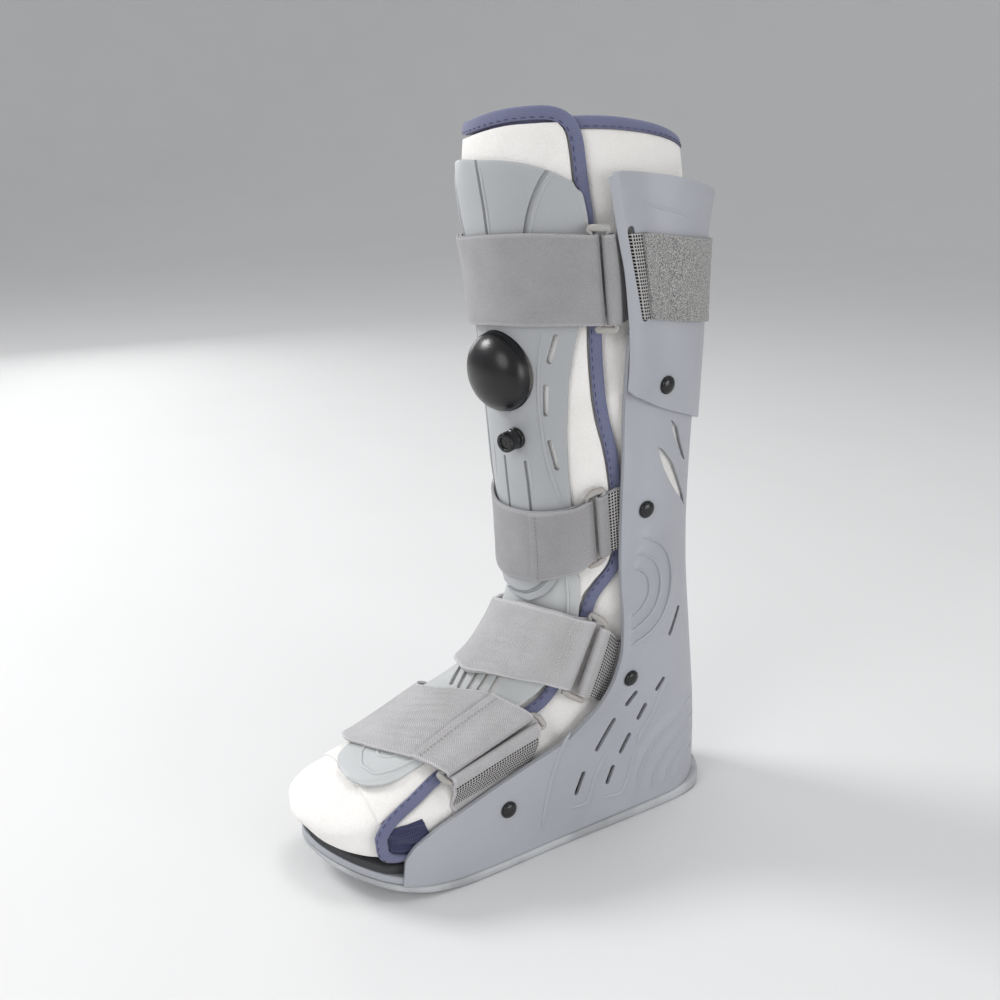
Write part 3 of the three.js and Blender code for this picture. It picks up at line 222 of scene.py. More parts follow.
def copies(name, seed, places, along, out):  # one small piece copied along a seam, each copy its own faces
    base = np.empty(len(seed.data.vertices) * 3)
    seed.data.vertices.foreach_get("co", base)
    base = base.reshape(-1, 3)
    faces = [list(face.vertices) for face in seed.data.polygons]
    side = unit(np.cross(out, along))
    points = (places[:, None] + base[None, :, :1] * along[:, None] + base[None, :, 1:2] * side[:, None]
              + base[None, :, 2:] * out[:, None])
    mesh = bpy.data.meshes.new(name)
    every = [[k + i * len(base) for k in face] for i in range(len(places)) for face in faces]
    mesh.from_pydata(((points.reshape(-1, 3) + (0, middleY, 0)) * mm).tolist(), [], every)
    piece = bpy.data.objects.new(name, mesh)
    bpy.context.scene.collection.objects.link(piece)
    bpy.data.objects.remove(seed)
    return weld(piece)


def stitches(name, path, out, length=2.2, gap=1.1, thick=0.32):  # a row of thread along a path
    both = spread(np.concatenate([path, out], 1) * (1, 1, 1, 0.001, 0.001, 0.001), (length + gap) / 2)
    places, up = both[1:-1:2, :3], unit(both[1:-1:2, 3:])
    along = unit(both[2::2, :3][:len(places)] - both[0:-2:2, :3][:len(places)])
    bpy.ops.object.select_all(action="DESELECT")
    bpy.ops.mesh.primitive_uv_sphere_add(segments=6, ring_count=5, radius=1)
    seed = bpy.context.object
    bpy.ops.object.mode_set(mode="EDIT")
    bpy.ops.transform.resize(value=(thick, thick * 0.8, length / 2))
    bpy.ops.object.mode_set(mode="OBJECT")
    seed.data.transform(Matrix.Rotation(math.radians(90), 4, "Y"))
    return copies(name, seed, places, along, up)


def cleaned(piece):  # takes out faces without area and pairs of faces that lie back to back
    pick(piece)
    bpy.ops.object.mode_set(mode="EDIT")
    bpy.ops.mesh.select_mode(type="FACE")
    bpy.ops.mesh.select_all(action="SELECT")
    bpy.ops.mesh.dissolve_degenerate(threshold=gaps["flat"])
    bpy.ops.mesh.quads_convert_to_tris()
    bpy.ops.mesh.select_all(action="DESELECT")
    bpy.ops.object.mode_set(mode="OBJECT")
    found = {}
    for face in piece.data.polygons:
        found.setdefault(frozenset(piece.data.vertices[k].co.to_tuple(7) for k in face.vertices), []).append(face)
    for faces in found.values():
        for face in faces:
            face.select = len(faces) > 1
    bpy.ops.object.mode_set(mode="EDIT")
    bpy.ops.mesh.delete(type="FACE")
    bpy.ops.mesh.select_mode(type="EDGE")
    bpy.ops.mesh.select_non_manifold(extend=False, use_wire=True, use_boundary=True, use_multi_face=False,
                                     use_non_contiguous=False, use_verts=False)
    bpy.ops.mesh.delete(type="EDGE")
    bpy.ops.mesh.select_mode(type="VERT")
    bpy.ops.object.mode_set(mode="OBJECT")
    return piece


def finished(piece, finish, slot, *replaced, body="boot", angle=38):
    pick(piece)
    bpy.ops.object.shade_smooth_by_angle(angle=math.radians(angle))
    piece.data.materials.clear()
    piece.data.materials.append(finish)
    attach(piece, body)
    if replaced:
        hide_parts(*replaced)
    return piece


# finishes

class Wire:  # a socket that can be used in sums
    def __init__(self, look, socket):
        self.look, self.socket = look, socket

    def sum(self, operation, *others, swap=False):
        terms = [*others, self] if swap else [self, *others]
        return self.look.node("Math", {"operation": operation}, dict(enumerate(terms)))

    def __add__(self, other): return self.sum("ADD", other)
    def __radd__(self, other): return self.sum("ADD", other)
    def __sub__(self, other): return self.sum("SUBTRACT", other)
    def __rsub__(self, other): return self.sum("SUBTRACT", other, swap=True)
    def __mul__(self, other): return self.sum("MULTIPLY", other)
    def __rmul__(self, other): return self.sum("MULTIPLY", other)
    def __truediv__(self, other): return self.sum("DIVIDE", other)
    def sine(self): return self.sum("SINE")
    def tent(self): return self.sum("PINGPONG", 1.0)
    def rest(self): return self.sum("FRACT")

    def over(self, low, high):  # 0 at low, 1 at high
        return self.look.node("MapRange", {"interpolation_type": "SMOOTHSTEP"},
                              {"Value": self, "From Min": low, "From Max": high})


class Look:
    def __init__(self, name, **fixed):
        self.made = bpy.data.materials.new(name)
        self.made.use_nodes = True
        self.tree = self.made.node_tree
        self.shader = self.tree.nodes["Principled BSDF"]
        for key, value in fixed.items():
            self.shader.inputs[key.replace("_", " ")].default_value = value

    def node(self, kind, settings=None, sockets=None, out=0):
        made = self.tree.nodes.new("ShaderNode" + kind)
        for key, value in (settings or {}).items():
            setattr(made, key, value)
        for key, value in (sockets or {}).items():
            if isinstance(value, Wire):
                self.tree.links.new(value.socket, made.inputs[key])
            else:
                made.inputs[key].default_value = value
        return Wire(self, made.outputs[out])

    def place(self, kind="Object"):
        return self.node("TexCoord", out=kind)

    def axes(self, vector):
        parts = self.node("SeparateXYZ", None, {0: vector})
        node = parts.socket.node
        return [Wire(self, node.outputs[k]) for k in range(3)]

    def noise(self, scale, detail=2.0, rough=0.5):
        return self.node("TexNoise", None,
                         {"Vector": self.place(), "Scale": scale, "Detail": detail, "Roughness": rough})

    def tint(self, low, high, share):  # a colour between two, by a value
        return self.node("Mix", {"data_type": "RGBA"}, {0: share, 6: (*low, 1), 7: (*high, 1)}, out=2)

    def feed(self, socket, wire):
        self.tree.links.new(wire.socket, self.shader.inputs[socket])

    def bump(self, height, depth):
        self.feed("Normal", self.node("Bump", None, {"Strength": 1.0, "Distance": depth, "Height": height}))


def moulded(name, colour, rough, grain=1500.0, depth=0.00004, shade=0.06, **fixed):  # satin moulded plastic
    look = Look(name, **fixed)
    broad = look.noise(14.0, 3.0)
    fine = look.noise(grain, 1.0)
    dark = tuple(c * (1 - shade) for c in colour)
    light = tuple(min(1, c * (1 + shade)) for c in colour)
    look.feed("Base Color", look.tint(dark, light, (broad * 0.7 + fine * 0.3).over(0.3, 0.7)))
    look.feed("Roughness", rough + (look.noise(60.0, 4.0) - 0.5) * 0.16)
    look.bump(fine, depth)
    return look.made


def brushedCloth(name, dark, light, depth=0.00045):  # soft loop cloth over foam
    look = Look(name, Sheen_Weight=0.35, Sheen_Roughness=0.5, Specular_IOR_Level=0.15)
    pile = look.noise(1700.0, 3.0, 0.6)
    broad = look.noise(22.0, 4.0)
    look.feed("Base Color", look.tint(dark, light, (pile * 0.55 + broad * 0.45).over(0.33, 0.66)))
    look.feed("Roughness", 0.88 + (pile - 0.5) * 0.1)
    look.bump(pile * 0.75 + look.noise(420.0, 2.0) * 0.6, depth)
    return look.made


def twill(name, dark, light, rib=0.00085, chevron=0.0, depth=0.00022, wide=0.0):  # woven tape, uv in metres
    look = Look(name, Sheen_Weight=0.2, Specular_IOR_Level=0.2)
    u, v, _ = look.axes(look.place("UV"))
    lean = (u / chevron).tent() * (chevron / rib) * 0.9 if chevron else u / (rib * 1.6)
    warp = ((v / rib + lean) * (2 * math.pi)).sine() * 0.5 + 0.5
    weft = ((u / (rib * 0.7)) * (2 * math.pi)).sine() * 0.5 + 0.5
    speck = look.noise(2600.0, 2.0, 0.7)
    broad = look.noise(45.0, 3.0)
    height = warp * 0.6 + weft * 0.22 + speck * 0.5
    share = (height * 0.45 + speck * 0.5 + broad * 0.2).over(0.32, 0.9)
    if wide:  # paler woven edges
        share = share + (u / wide * 2 - 1).sum("ABSOLUTE").over(1 - 0.0036 / wide, 1 - 0.0022 / wide) * 0.3
    look.feed("Base Color", look.tint(dark, light, share))
    look.feed("Roughness", 0.82 + (speck - 0.5) * 0.2)
    look.bump(height, depth)
    return look.made


def loopPile(name, dark, light):  # fuzzy loop side of hook and loop
    look = Look(name, Sheen_Weight=0.3, Specular_IOR_Level=0.15)
    fuzz = look.noise(1600.0, 3.0, 0.65)
    curl = look.node("TexVoronoi", None, {"Vector": look.place(), "Scale": 1300.0})
    height = fuzz * 0.8 + (1 - curl) * 0.35
    look.feed("Base Color", look.tint(dark, light, height.over(0.42, 0.86)))
    look.feed("Roughness", 0.9 + (fuzz - 0.5) * 0.12)
    look.bump(height, 0.0007)
    return look.made


def openMesh(name, dark, light, pitch=0.0019):  # knitted mesh tape with square holes
    look = Look(name, Specular_IOR_Level=0.2)
    u, v, _ = look.axes(look.place("UV"))
    cellU = ((u / pitch).rest() - 0.5).sum("ABSOLUTE")
    cellV = ((v / pitch).rest() - 0.5).sum("ABSOLUTE")
    hole = cellU.sum("MAXIMUM", cellV).over(0.36, 0.26)
    speck = look.noise(2400.0, 2.0)
    thread = look.tint(tuple(c * 0.8 for c in light), light, speck.over(0.3, 0.7))
    look.feed("Base Color", look.node("Mix", {"data_type": "RGBA"}, {0: hole, 6: thread, 7: (*dark, 1)}, out=2))
    look.feed("Roughness", 0.75 + hole * 0.2)
    look.bump(1 - hole + speck * 0.2, 0.0006)
    return look.made


def rubberLike(name, colour, rough, grain, depth):  # rubber, foam and hard black plastic
    look = Look(name, Specular_IOR_Level=0.45)
    fine = look.noise(grain, 2.0)
    broad = look.noise(30.0, 3.0)
    dark, light = tuple(c * 0.8 for c in colour), tuple(c * 1.25 for c in colour)
    look.feed("Base Color", look.tint(dark, light, broad.over(0.3, 0.7)))
    look.feed("Roughness", rough + (broad - 0.5) * 0.14 + (fine - 0.5) * 0.06)
    look.bump(fine, depth)
    return look.made


shellPlastic = moulded("shell_plastic", (0.38, 0.39, 0.425), 0.42)
platePlastic = moulded("plate_plastic", (0.385, 0.397, 0.41), 0.44)
footPlatePlastic = moulded("foot_plate_plastic", (0.49, 0.505, 0.51), 0.46)
ringPlastic = moulded("ring_plastic", (0.38, 0.362, 0.348), 0.36, shade=0.04, Subsurface_Weight=0.15)
linerCloth = brushedCloth("liner_cloth", (0.80, 0.78, 0.75), (0.92, 0.90, 0.88))
bindingTape = twill("binding_tape", (0.10, 0.11, 0.19), (0.185, 0.195, 0.3), rib=0.0009, depth=0.0001)
threadDark = twill("dark_thread", (0.03, 0.03, 0.08), (0.07, 0.07, 0.15), rib=0.0005, depth=0.0001)
threadGrey = twill("grey_thread", (0.2, 0.195, 0.19), (0.34, 0.33, 0.32), rib=0.0005, depth=0.0001)
threadPale = twill("pale_thread", (0.5, 0.49, 0.48), (0.66, 0.65, 0.64), rib=0.0005, depth=0.0001)
# dark navy cloth, its colour darkened further as painted shade for the shadow it lies in behind the tape at the toe
gussetCloth = twill("gusset_cloth", (0.012, 0.013, 0.04), (0.06, 0.064, 0.14), rib=0.0011, depth=0.0002)
calfWebbing = dict(dark=(0.2, 0.195, 0.2), light=(0.42, 0.413, 0.425))
footWebbing = dict(dark=(0.27, 0.262, 0.266), light=(0.6, 0.59, 0.6), rib=0.0011, chevron=0.0034)
pileTape = loopPile("pile_tape", (0.15, 0.148, 0.146), (0.68, 0.67, 0.655))
meshTape = openMesh("mesh_tape", (0.012, 0.012, 0.013), (0.52, 0.51, 0.5))
pumpRubber = rubberLike("pump_rubber", (0.008, 0.008, 0.009), 0.3, 900.0, 0.00005)
blackPlastic = rubberLike("black_plastic", (0.01, 0.01, 0.011), 0.18, 500.0, 0.00002)
footbedFoam = rubberLike("footbed_foam", (0.042, 0.043, 0.047), 0.8, 1300.0, 0.0003)
soleRubber = rubberLike("sole_rubber", (0.40, 0.41, 0.425), 0.6, 700.0, 0.0001)
print("finishes ready")


# bootie: sections from the rim to the toe, each an oval between a front and a back point

bootie = {
    "frontY": [-21.5, -23, -20, -13.2, -7.7, -0.6, 7.8, 8.5, 2, -7,
               -16, -26, -40, -56, -77, -97, -117, -134, -145, -149],
    "frontZ": [441, 416, 390, 351, 300, 240, 187, 158, 142, 130.5,
               121, 113, 105, 97, 84.5, 73.5, 66, 59, 50.5, 45.5],
    "backY": [96.6, 101.5, 107.5, 113, 113.5, 114, 116, 119, 124.5, 129.5,
              130, 113, 66, 16, -34, -75, -108, -127, -139.5, -147],
    "backZ": [427, 412, 390, 351, 300, 240, 187, 146, 108, 72,
              42, 23.4, 22.6, 22.4, 22.4, 22, 23.4, 27, 31.6, 38],
    "half": [54.4, 56.4, 57.5, 57, 54.5, 51, 48.5, 47, 45, 42.5, 41, 40, 41, 43, 46, 47, 45.5, 39, 27, 10],
    "square": [2.4, 2.2, 2, 2, 2, 2, 2, 2, 2.1, 2.2, 2.8, 3.9, 4, 3.6, 4.2, 4.8, 4.8, 4.2, 3.2, 2],
    "shift": [0] * 16 + [-2, -5, -8, -9],
    "crown": [9, 3] + [0] * 18,
    "wall": 7,
}
section = {key: through(range(20), bootie[key])
           for key in ("frontY", "frontZ", "backY", "backZ", "half", "square", "shift", "crown")}


def boot(at, angle, height):  # section number, degrees from the front towards the rings, height above
    at, angle, height = np.broadcast_arrays(np.asarray(at, float), np.asarray(angle, float), np.asarray(height, float))
    s = {key: curve(at) for key, curve in section.items()}
    halfY, halfZ = (s["frontY"] - s["backY"]) / 2, (s["frontZ"] - s["backZ"]) / 2
    length = np.hypot(halfY, halfZ)
    c, n = np.cos(np.radians(angle)), np.sin(np.radians(angle))
    power = np.where(c < 0, s["square"], 2)  # squarer behind than in front
    along = (length + height) / length * squared(c, power)
    return np.stack([s["shift"] + (s["half"] + height) * squared(n, power),
                     (s["frontY"] + s["backY"]) / 2 + halfY * along,
                     (s["frontZ"] + s["backZ"]) / 2 + halfZ * along + s["crown"] * n * n], -1)


def bootOut(at, angle, height):  # outward direction there
    side = boot(at, np.asarray(angle) + 0.5, height) - boot(at, np.asarray(angle) - 0.5, height)
    down = boot(np.asarray(at) + 0.02, angle, height) - boot(np.asarray(at) - 0.02, angle, height)
    out = unit(np.cross(down, side))
    away = boot(at, angle, np.asarray(height) + 5.0) - boot(at, angle, height)
    return out * np.sign((out * away).sum(-1, keepdims=True))


def evenSections(first, last, spacing):  # section numbers about evenly spaced down the front and side
    marks = np.linspace(first, last, 400)
    line = np.concatenate([boot(marks, 0, 0), boot(marks, 90, 0)], 1)
    far = np.concatenate([[0], np.cumsum(np.linalg.norm(np.diff(line, axis=0), axis=1) / 1.4)])
    return np.interp(np.linspace(0, far[-1], int(far[-1] / spacing) + 1), far, marks)


# padded bootie: outside from the toe up to the rim, over it and down the inside

pad = {
    "spacing": 3.6, "columns": 120, "swell": 1.5, "crease": 0.45, "toeCrease": 0.35, "vents": 0.8, "behindVents": 0.9,
    "rim": 0.29, "toe": 19, "insideEnd": 17.8, "insideSpacing": 7.0, "insideWave": 0.3,
    "overRim": [(0.26, -0.6), (0.24, -2), (0.23, -3.5), (0.24, -5), (0.26, -6.4)],  # section, height
}
flapRow = {
    "at": [-0.07, 0.01, 0.15, 0.4, 0.8, 1.4, 2.1, 3.5, 4.1, 4.35, 4.6, 4.85, 5.2, 5.65,
           5.9, 6.1, 6.34, 6.7, 7.6, 8.8, 10.2, 11.6, 13.0, 14.3, 15.2, 15.8, 16.12, 16.2],
    "angle": [47, 53, 57.5, 60, 61.3, 62, 62.4, 62, 63.5, 65.5, 69, 71.5, 73, 73,
              71.5, 68, 61.5, 54.5, 50.5, 50, 50.5, 52, 52.5, 54, 61, 72, 85, 98],
}
flapEdge = through(flapRow["at"], flapRow["angle"])
strapBelts = [(2.2, 3.36), (5.2, 6.1), (7.2, 9.95), (11.8, 14.3)]


def freeOfStraps(at):  # 0 under a strap, 1 between straps
    free = 1.0
    for top, low in strapBelts:
        free = free * (1 - smooth(at, top - 0.35, top) * (1 - smooth(at, low, low + 0.35)))
    return free


def bootieSwell(at, angle):  # the bootie stands out between the flap and the shell
    edge = flapEdge(np.clip(at, 0, flapRow["at"][-1]))
    near = smooth(angle, edge + 3, edge + 9) * (1 - smooth(angle, 84, 98))
    far = smooth(-angle, 62, 70) * (1 - smooth(-angle, 84, 98))
    ends = smooth(at, 0.4, 1.0) * (1 - smooth(at, 15.2, 16.6))
    return pad["swell"] * np.maximum(near, far) * freeOfStraps(at) * ends


def makeBootie():
    turn = np.linspace(-180, 180, pad["columns"] + 1)
    rise = evenSections(pad["rim"], pad["toe"], pad["spacing"])[::-1]
    a, g = np.meshgrid(rise, turn, indexing="ij")
    outside = boot(a, g, 0)
    lift = bootieSwell(a, g) + pad["crease"] * ripple(outside, 34, 4) * smooth(a, 0.4, 1.2) * freeOfStraps(a)
    lift = lift * (1 - smooth(np.abs(g), 100, 125))
    lift = lift + pad["toeCrease"] * ripple(outside, 60, 9) * smooth(a, 15.9, 16.4)
    outside = boot(a, g, lift)
    y, z = outside[..., 1], outside[..., 2]
    wall = shell["wall"] * (1 - shell["hookThin"]) / 0.88
    room = shellHalf(y, z) - np.abs(outside[..., 0]) - wall - pad["vents"]
    swell = hookZone(y, z) * (np.abs(g) > 80) * np.clip(room, 0, 6)  # behind the shell's hooked vents
    lift = lift + swell * pad["behindVents"]
    outside = boot(a, g, lift)
    tip = outside[0].mean(0)
    dome = [tip + (outside[0] - tip) * k + np.array([0, -1.6, -0.4]) * (1 - k * k) for k in (0.0, 0.35, 0.7, 0.9)]
    over = [boot(at, turn, height) for at, height in pad["overRim"]]
    down = evenSections(pad["rim"], pad["insideEnd"], pad["insideSpacing"])
    a, g = np.meshgrid(down, turn, indexing="ij")
    depth = np.where(a > 15, bootie["wall"] - 1.2 * np.maximum(a - 15.6, 0), bootie["wall"])
    inside = boot(a, g, -depth + pad["insideWave"] * ripple(boot(a, g, 0), 40, 6))
    heart = inside[-1].mean(0)
    bottom = [heart + (inside[-1] - heart) * k for k in (0.6, 0.2, 0.0)]
    points = np.concatenate([np.array(dome), outside, np.array(over), inside, np.array(bottom)], 0)
    piece = weld(gridPiece("padded_bootie", points))
    finished(piece, linerCloth, "liner", "liner_body", angle=60)


# rim tape, folded over the top edge

rim = {"middle": 0.13, "deep": 0.135, "centre": -3.5, "half": 4.0, "square": 3.4, "wall": 1.0, "edge": 0.3,
       "seam": 0.2, "seamHigh": 0.6, "stitch": (3.0, 1.8, 0.4)}  # a stitch's length, gap and thickness


def makeRimTape():
    turn = np.linspace(-180, 180, 181)
    bow = np.radians(np.linspace(-48, 228, 26))
    side, up = squared(np.cos(bow), rim["square"]), squared(np.sin(bow), rim["square"])
    places, heights = rim["middle"] - rim["deep"] * up, rim["centre"] + rim["half"] * side
    rows = np.stack([boot(at, turn, height) for at, height in zip(places, heights)])
    tape = weld(gridPiece("rim_tape", rows), outward=False)
    thickened(tape, rim["wall"], rim["edge"])
    finished(tape, bindingTape, "binding", "rim_binding", angle=60)
    seam = np.linspace(40, 320, 300)
    line = (rim["seam"], seam, rim["seamHigh"])
    row = stitches("rim_stitches", boot(*line), bootOut(*line), *rim["stitch"])
    finished(row, threadDark, "binding", angle=60)
    wide, long = flatSize(rows)


# flap over the shin and instep, and its edge tape

flap = {"base": 0.9, "far": -62.0, "topNear": 0.12, "topFar": 0.42, "end": 16.05, "wall": 2.2, "edge": 0.6,
        "rise": 2.5, "swell": 0.7, "crease": 0.28,
        "tapeHalf": 3.7, "tapeHigh": 3.4, "tapeLow": 0.8, "tapeSquare": 2.8, "tapeWall": 0.7, "tapeEdge": 0.2,
        "stitch": (3.2, 2.0, 0.48), "toeEnd": [(16.08, 108), (15.85, 116), (15.5, 121)]}
gusset = {"fold": 2.3, "wave": 0.9, "crease": 0.35, "wall": 0.8, "edge": 0.25}


def flapTop(angle):  # section of the flap's top edge
    return mix(flap["topFar"], flap["topNear"], smooth(angle, -30, 30))


def flapTaper(angle):  # thins to nothing at the far edge
    return smooth(angle, flap["far"] - 6, flap["far"] + 22)


def makeFlap():
    rows = evenSections(flap["topNear"], flap["end"], 3.2)[::-1]
    share = np.linspace(0, 1, 64)
    a, s = np.meshgrid(rows, share, indexing="ij")
    radius = section["half"](a) + 2
    fall = np.linalg.norm(boot(a + 0.05, flapEdge(a), 2) - boot(a - 0.05, flapEdge(a), 2), axis=-1)
    swing = np.radians(flapEdge(a + 0.05) - flapEdge(a - 0.05)) * radius
    near = flapEdge(a) - np.degrees((flap["tapeHalf"] + 0.6) * np.hypot(1, swing / fall) / radius)
    g = mix(flap["far"], near, s)
    a = flapTop(g) + (a - flap["topNear"]) * (flap["end"] - flapTop(g)) / (flap["end"] - flap["topNear"])
    thin = 1 - 0.7 * smooth(a, 14.6, flap["end"])
    swell = smooth(s, 0.72, 0.86) * (1 - smooth(s, 0.94, 1.0)) * freeOfStraps(a)
    high = flap["base"] + 0.5 + flap["rise"] * flapTaper(g) * thin + flap["swell"] * swell * thin
    points = boot(a, g, high)
    points = boot(a, g, high + flap["crease"] * ripple(points, 26, 11) * freeOfStraps(a) * flapTaper(g))
    piece = weld(gridPiece("padded_flap", points), outward=False)
    thickened(piece, flap["wall"], flap["edge"], even=False)
    finished(piece, linerCloth, "liner", "liner_flap", angle=60)


def flapTapePath():  # over the flap's top, down its near edge and round the toe
    far = np.arange(flap["far"], 37, 6.0)
    marks = [(flapTop(g) - 0.21, g) for g in far]
    marks = np.array(marks + list(zip(flapRow["at"], flapRow["angle"])) + flap["toeEnd"])
    line = boot(marks[:, 0], marks[:, 1], 2)
    steps = np.concatenate([[0], np.cumsum(np.linalg.norm(np.diff(line, axis=0), axis=1))])
    fine = np.linspace(0, steps[-1], int(steps[-1] / 2.6))
    at, angle = through(steps, marks[:, 0])(fine), through(steps, marks[:, 1])(fine)
    for _ in range(4):
        at[1:-1] = 0.25 * at[:-2] + 0.5 * at[1:-1] + 0.25 * at[2:]
        angle[1:-1] = 0.25 * angle[:-2] + 0.5 * angle[1:-1] + 0.25 * angle[2:]
    return at, angle


def makeFlapTape():
    at, angle = flapTapePath()
    path = boot(at, angle, flap["base"] + 0.15)
    out = bootOut(at, angle, 2)
    along = unit(np.gradient(path, axis=0))
    across = unit(np.cross(along, out))
    pressed = smooth(at, 4.7, 5.05) * (1 - smooth(at, 5.85, 6.1))  # flat under the strap
    rise = (flap["tapeHigh"] - flap["tapeLow"]) * (1 - 0.8 * pressed) * np.maximum(flapTaper(angle), 0.05)
    high = (flap["tapeLow"] + rise) * (1 + 0.05 * ripple(path, 18, 3))
    bow = np.radians(np.linspace(-25, -335, 22))
    side, up = squared(np.cos(bow), flap["tapeSquare"]), squared(np.sin(bow), flap["tapeSquare"])
    rows = path[:, None] + across[:, None] * (side * flap["tapeHalf"])[None, :, None]
    rows = rows + out[:, None] * ((up[None, :] * 0.5 + 0.5) * high[:, None])[..., None]
    tape = thickened(gridPiece("flap_tape", rows), flap["tapeWall"], flap["tapeEdge"])
    finished(tape, bindingTape, "binding", "flap_binding", angle=60)
    seam = path + across * (0.6 * flap["tapeHalf"]) + out * (high * 0.93)[:, None]
    row = stitches("flap_stitches", seam, out, *flap["stitch"])
    finished(row, threadDark, "binding", angle=60)
    flatSize(rows)


def makeGusset():  # dark blue cloth folded behind the tape's end at the toe, coloured darker still as painted shade
    marks, turn = np.meshgrid(np.linspace(16.0, 15.1, 22), np.linspace(80, 116, 26), indexing="ij")
    wave = gusset["wave"] * np.sin(turn * 0.62 + marks * 7.0) * smooth(turn, 82, 90)
    points = boot(marks, turn, gusset["fold"] + wave + gusset["crease"] * ripple(boot(marks, turn, 0), 7, 5))
    cloth = thickened(gridPiece("toe_gusset", points), gusset["wall"], gusset["edge"])
    finished(cloth, gussetCloth, "binding", angle=60)
    flatSize(points)


makeRimTape()
makeFlap()
makeFlapTape()
makeGusset()
print("flap and tapes made")


# shin plate, instep plate

frontPlate = {
    "at": [0.8, 1.25, 2.1, 3.4, 4.15, 4.75, 5.25, 5.8, 6.25, 6.6, 6.95],
    "angle": [58, 61, 62.5, 53.5, 47.5, 46, 46.5, 44, 36, 29, 17],
    "turn": 8.0, "base": 4.7, "wall": 3.0, "sheet": 2.6, "edge": 0.9, "vent": 3.3, "ventHigh": 6.2,
    "vents": [(3.48, 43, 3.75, 39), (4.03, 36.5, 4.3, 35.5), (4.58, 37, 4.83, 40)],
    "grooves": [  # marks of section and angle, width, depth, on both sides or not
        ([(0.9, 50.5), (1.04, 46), (1.32, 42), (1.76, 36.6), (2.35, 31.6)], 1.9, 1.7, True),
        ([(0.7, 6.5), (1.18, 9.5), (1.72, 10.5), (2.3, 10.5)], 1.6, 1.7, False),
        ([(4.8, 4.5), (5.06, 4.5), (5.5, 2)], 1.6, 1.9, False),
        ([(4.8, 21), (5.02, 22), (5.4, 21)], 1.6, 1.9, False),
        ([(6.2, 31), (6.5, 24.5), (6.74, 15), (6.82, 4), (6.78, -8)], 1.7, 1.9, False),
    ],
    "ridges": [  # marks, half width, height, on both sides or not
        ([(1.13, 50.5), (1.16, 48), (1.4, 44), (1.82, 39), (2.35, 34.4)], 0.9, 0.8, True),
        ([(0.92, 10.2), (1.18, 12), (1.72, 12.8), (2.3, 12.8)], 0.7, 0.45, False),
        ([(3.45, 36), (3.88, 33), (4.16, 32), (4.52, 33), (4.84, 35.6), (5.12, 40), (5.26, 43)], 1.1, 0.55, True),
        ([(4.66, 24.5), (4.72, 22.5), (4.84, 24), (5.1, 25)], 0.9, 0.5, True),
    ],
}
footPlate = {
    "at": [5.95, 6.3, 7.23, 9.35, 10.8, 11.4, 14.3, 15.3, 15.95, 16.22],
    "angle": [42, 48.5, 48, 47, 46, 44, 38.5, 36, 28, 16],
    "wall": 2.3, "edge": 0.7, "vent": 3.0, "ventHigh": 5.7,
    "slots": [(11.1, -12, 12.1, 3), (11.0, -1, 12.0, 10), (10.8, 9, 11.86, 16.5), (10.6, 16.2, 11.68, 22),
              (10.4, 22.8, 11.5, 28)],
    "ridges": [
        ([(14.2, 33), (14.96, 29.5), (15.5, 25), (15.66, 12), (15.4, 0), (14.9, -8), (14.2, -11)], 1.2, 0.8),
        ([(14.2, 22), (14.85, 20), (15.1, 12), (14.9, 3), (14.2, -1)], 1.0, 0.7),
        ([(6.2, 40), (6.6, 41.5), (7.3, 41.5)], 0.9, 0.6),
    ],
}
frontEdge = through(frontPlate["at"], frontPlate["angle"])
footEdge = through(footPlate["at"], footPlate["angle"])


def frontHigh(at):  # the shin plate's face, lifted where its tongue lies on the instep plate
    tongue = (footPlate["wall"] + 1.2) * smooth(at, 5.5, 6.1)
    return frontPlate["base"] + frontPlate["wall"] + 0.9 * tongue


def bootSlot(name, at, angle, toAt, toAngle, width, height):  # a round ended slot cutter on the bootie
    start, end = boot(at, angle, height), boot(toAt, toAngle, height)
    middle, out = (start + end) / 2, bootOut((at + toAt) / 2, (angle + toAngle) / 2, height)
    reach = np.linalg.norm(end - start) / 2
    along = unit(end - start)
    side = unit(np.cross(out, along))
    turn = np.radians(np.concatenate([np.linspace(-90, 90, 9), np.linspace(90, 270, 9)]))
    far = np.concatenate([np.full(9, reach), np.full(9, -reach)])
    line = middle + along * (far + np.cos(turn) * width / 2)[:, None] + side * (np.sin(turn) * width / 2)[:, None]
    return tubePiece(name, np.stack([line - out * 7, line + out * 7]))


def bootLine(marks, height, steps=2.5):  # path over the bootie with its sideways and outward directions
    marks = rounded(np.array(marks, float) * (20, 1), steps, 2) / (20, 1)
    path = boot(marks[:, 0], marks[:, 1], height(marks[:, 0]))
    out = bootOut(marks[:, 0], marks[:, 1], 6)
    across = unit(np.cross(np.gradient(path, axis=0), out))
    return path, across, out


def groove(name, marks, width, deep, height):  # cutter for a groove that widens upwards
    path, across, out = bootLine(marks, height)
    box = [(-width / 2, -deep), (width / 2, -deep), (width / 2 + 0.9, 3), (-width / 2 - 0.9, 3)]
    return tubePiece(name, swept(path, across, out, box))


def bead(path, across, out, wide, high):  # a raised line that tapers to its ends, with a root below the face
    turn = np.linspace(0, np.pi, 9)
    side = np.concatenate([np.cos(turn), [-0.8, 0.8]])
    lift = np.concatenate([np.sin(turn) * high - 0.12 * high, [-0.7, -0.7]])
    ends = np.sqrt(np.clip(np.minimum(np.arange(len(path)), np.arange(len(path))[::-1]) / 4, 0.04, 1))
    wide, lift = ends[:, None] * side[None] * wide, np.where(lift[None] > 0, ends[:, None] * lift[None], lift[None])
    return tubePiece("ridge", path[:, None] + across[:, None] * wide[..., None] + out[:, None] * lift[..., None])


def raised(piece, ridges):  # joins closed ridges to a piece, one after another
    for ridge in ridges:
        applied(piece, "BOOLEAN", object=ridge, operation="UNION", solver="EXACT")
        bpy.data.objects.remove(ridge)
    return piece


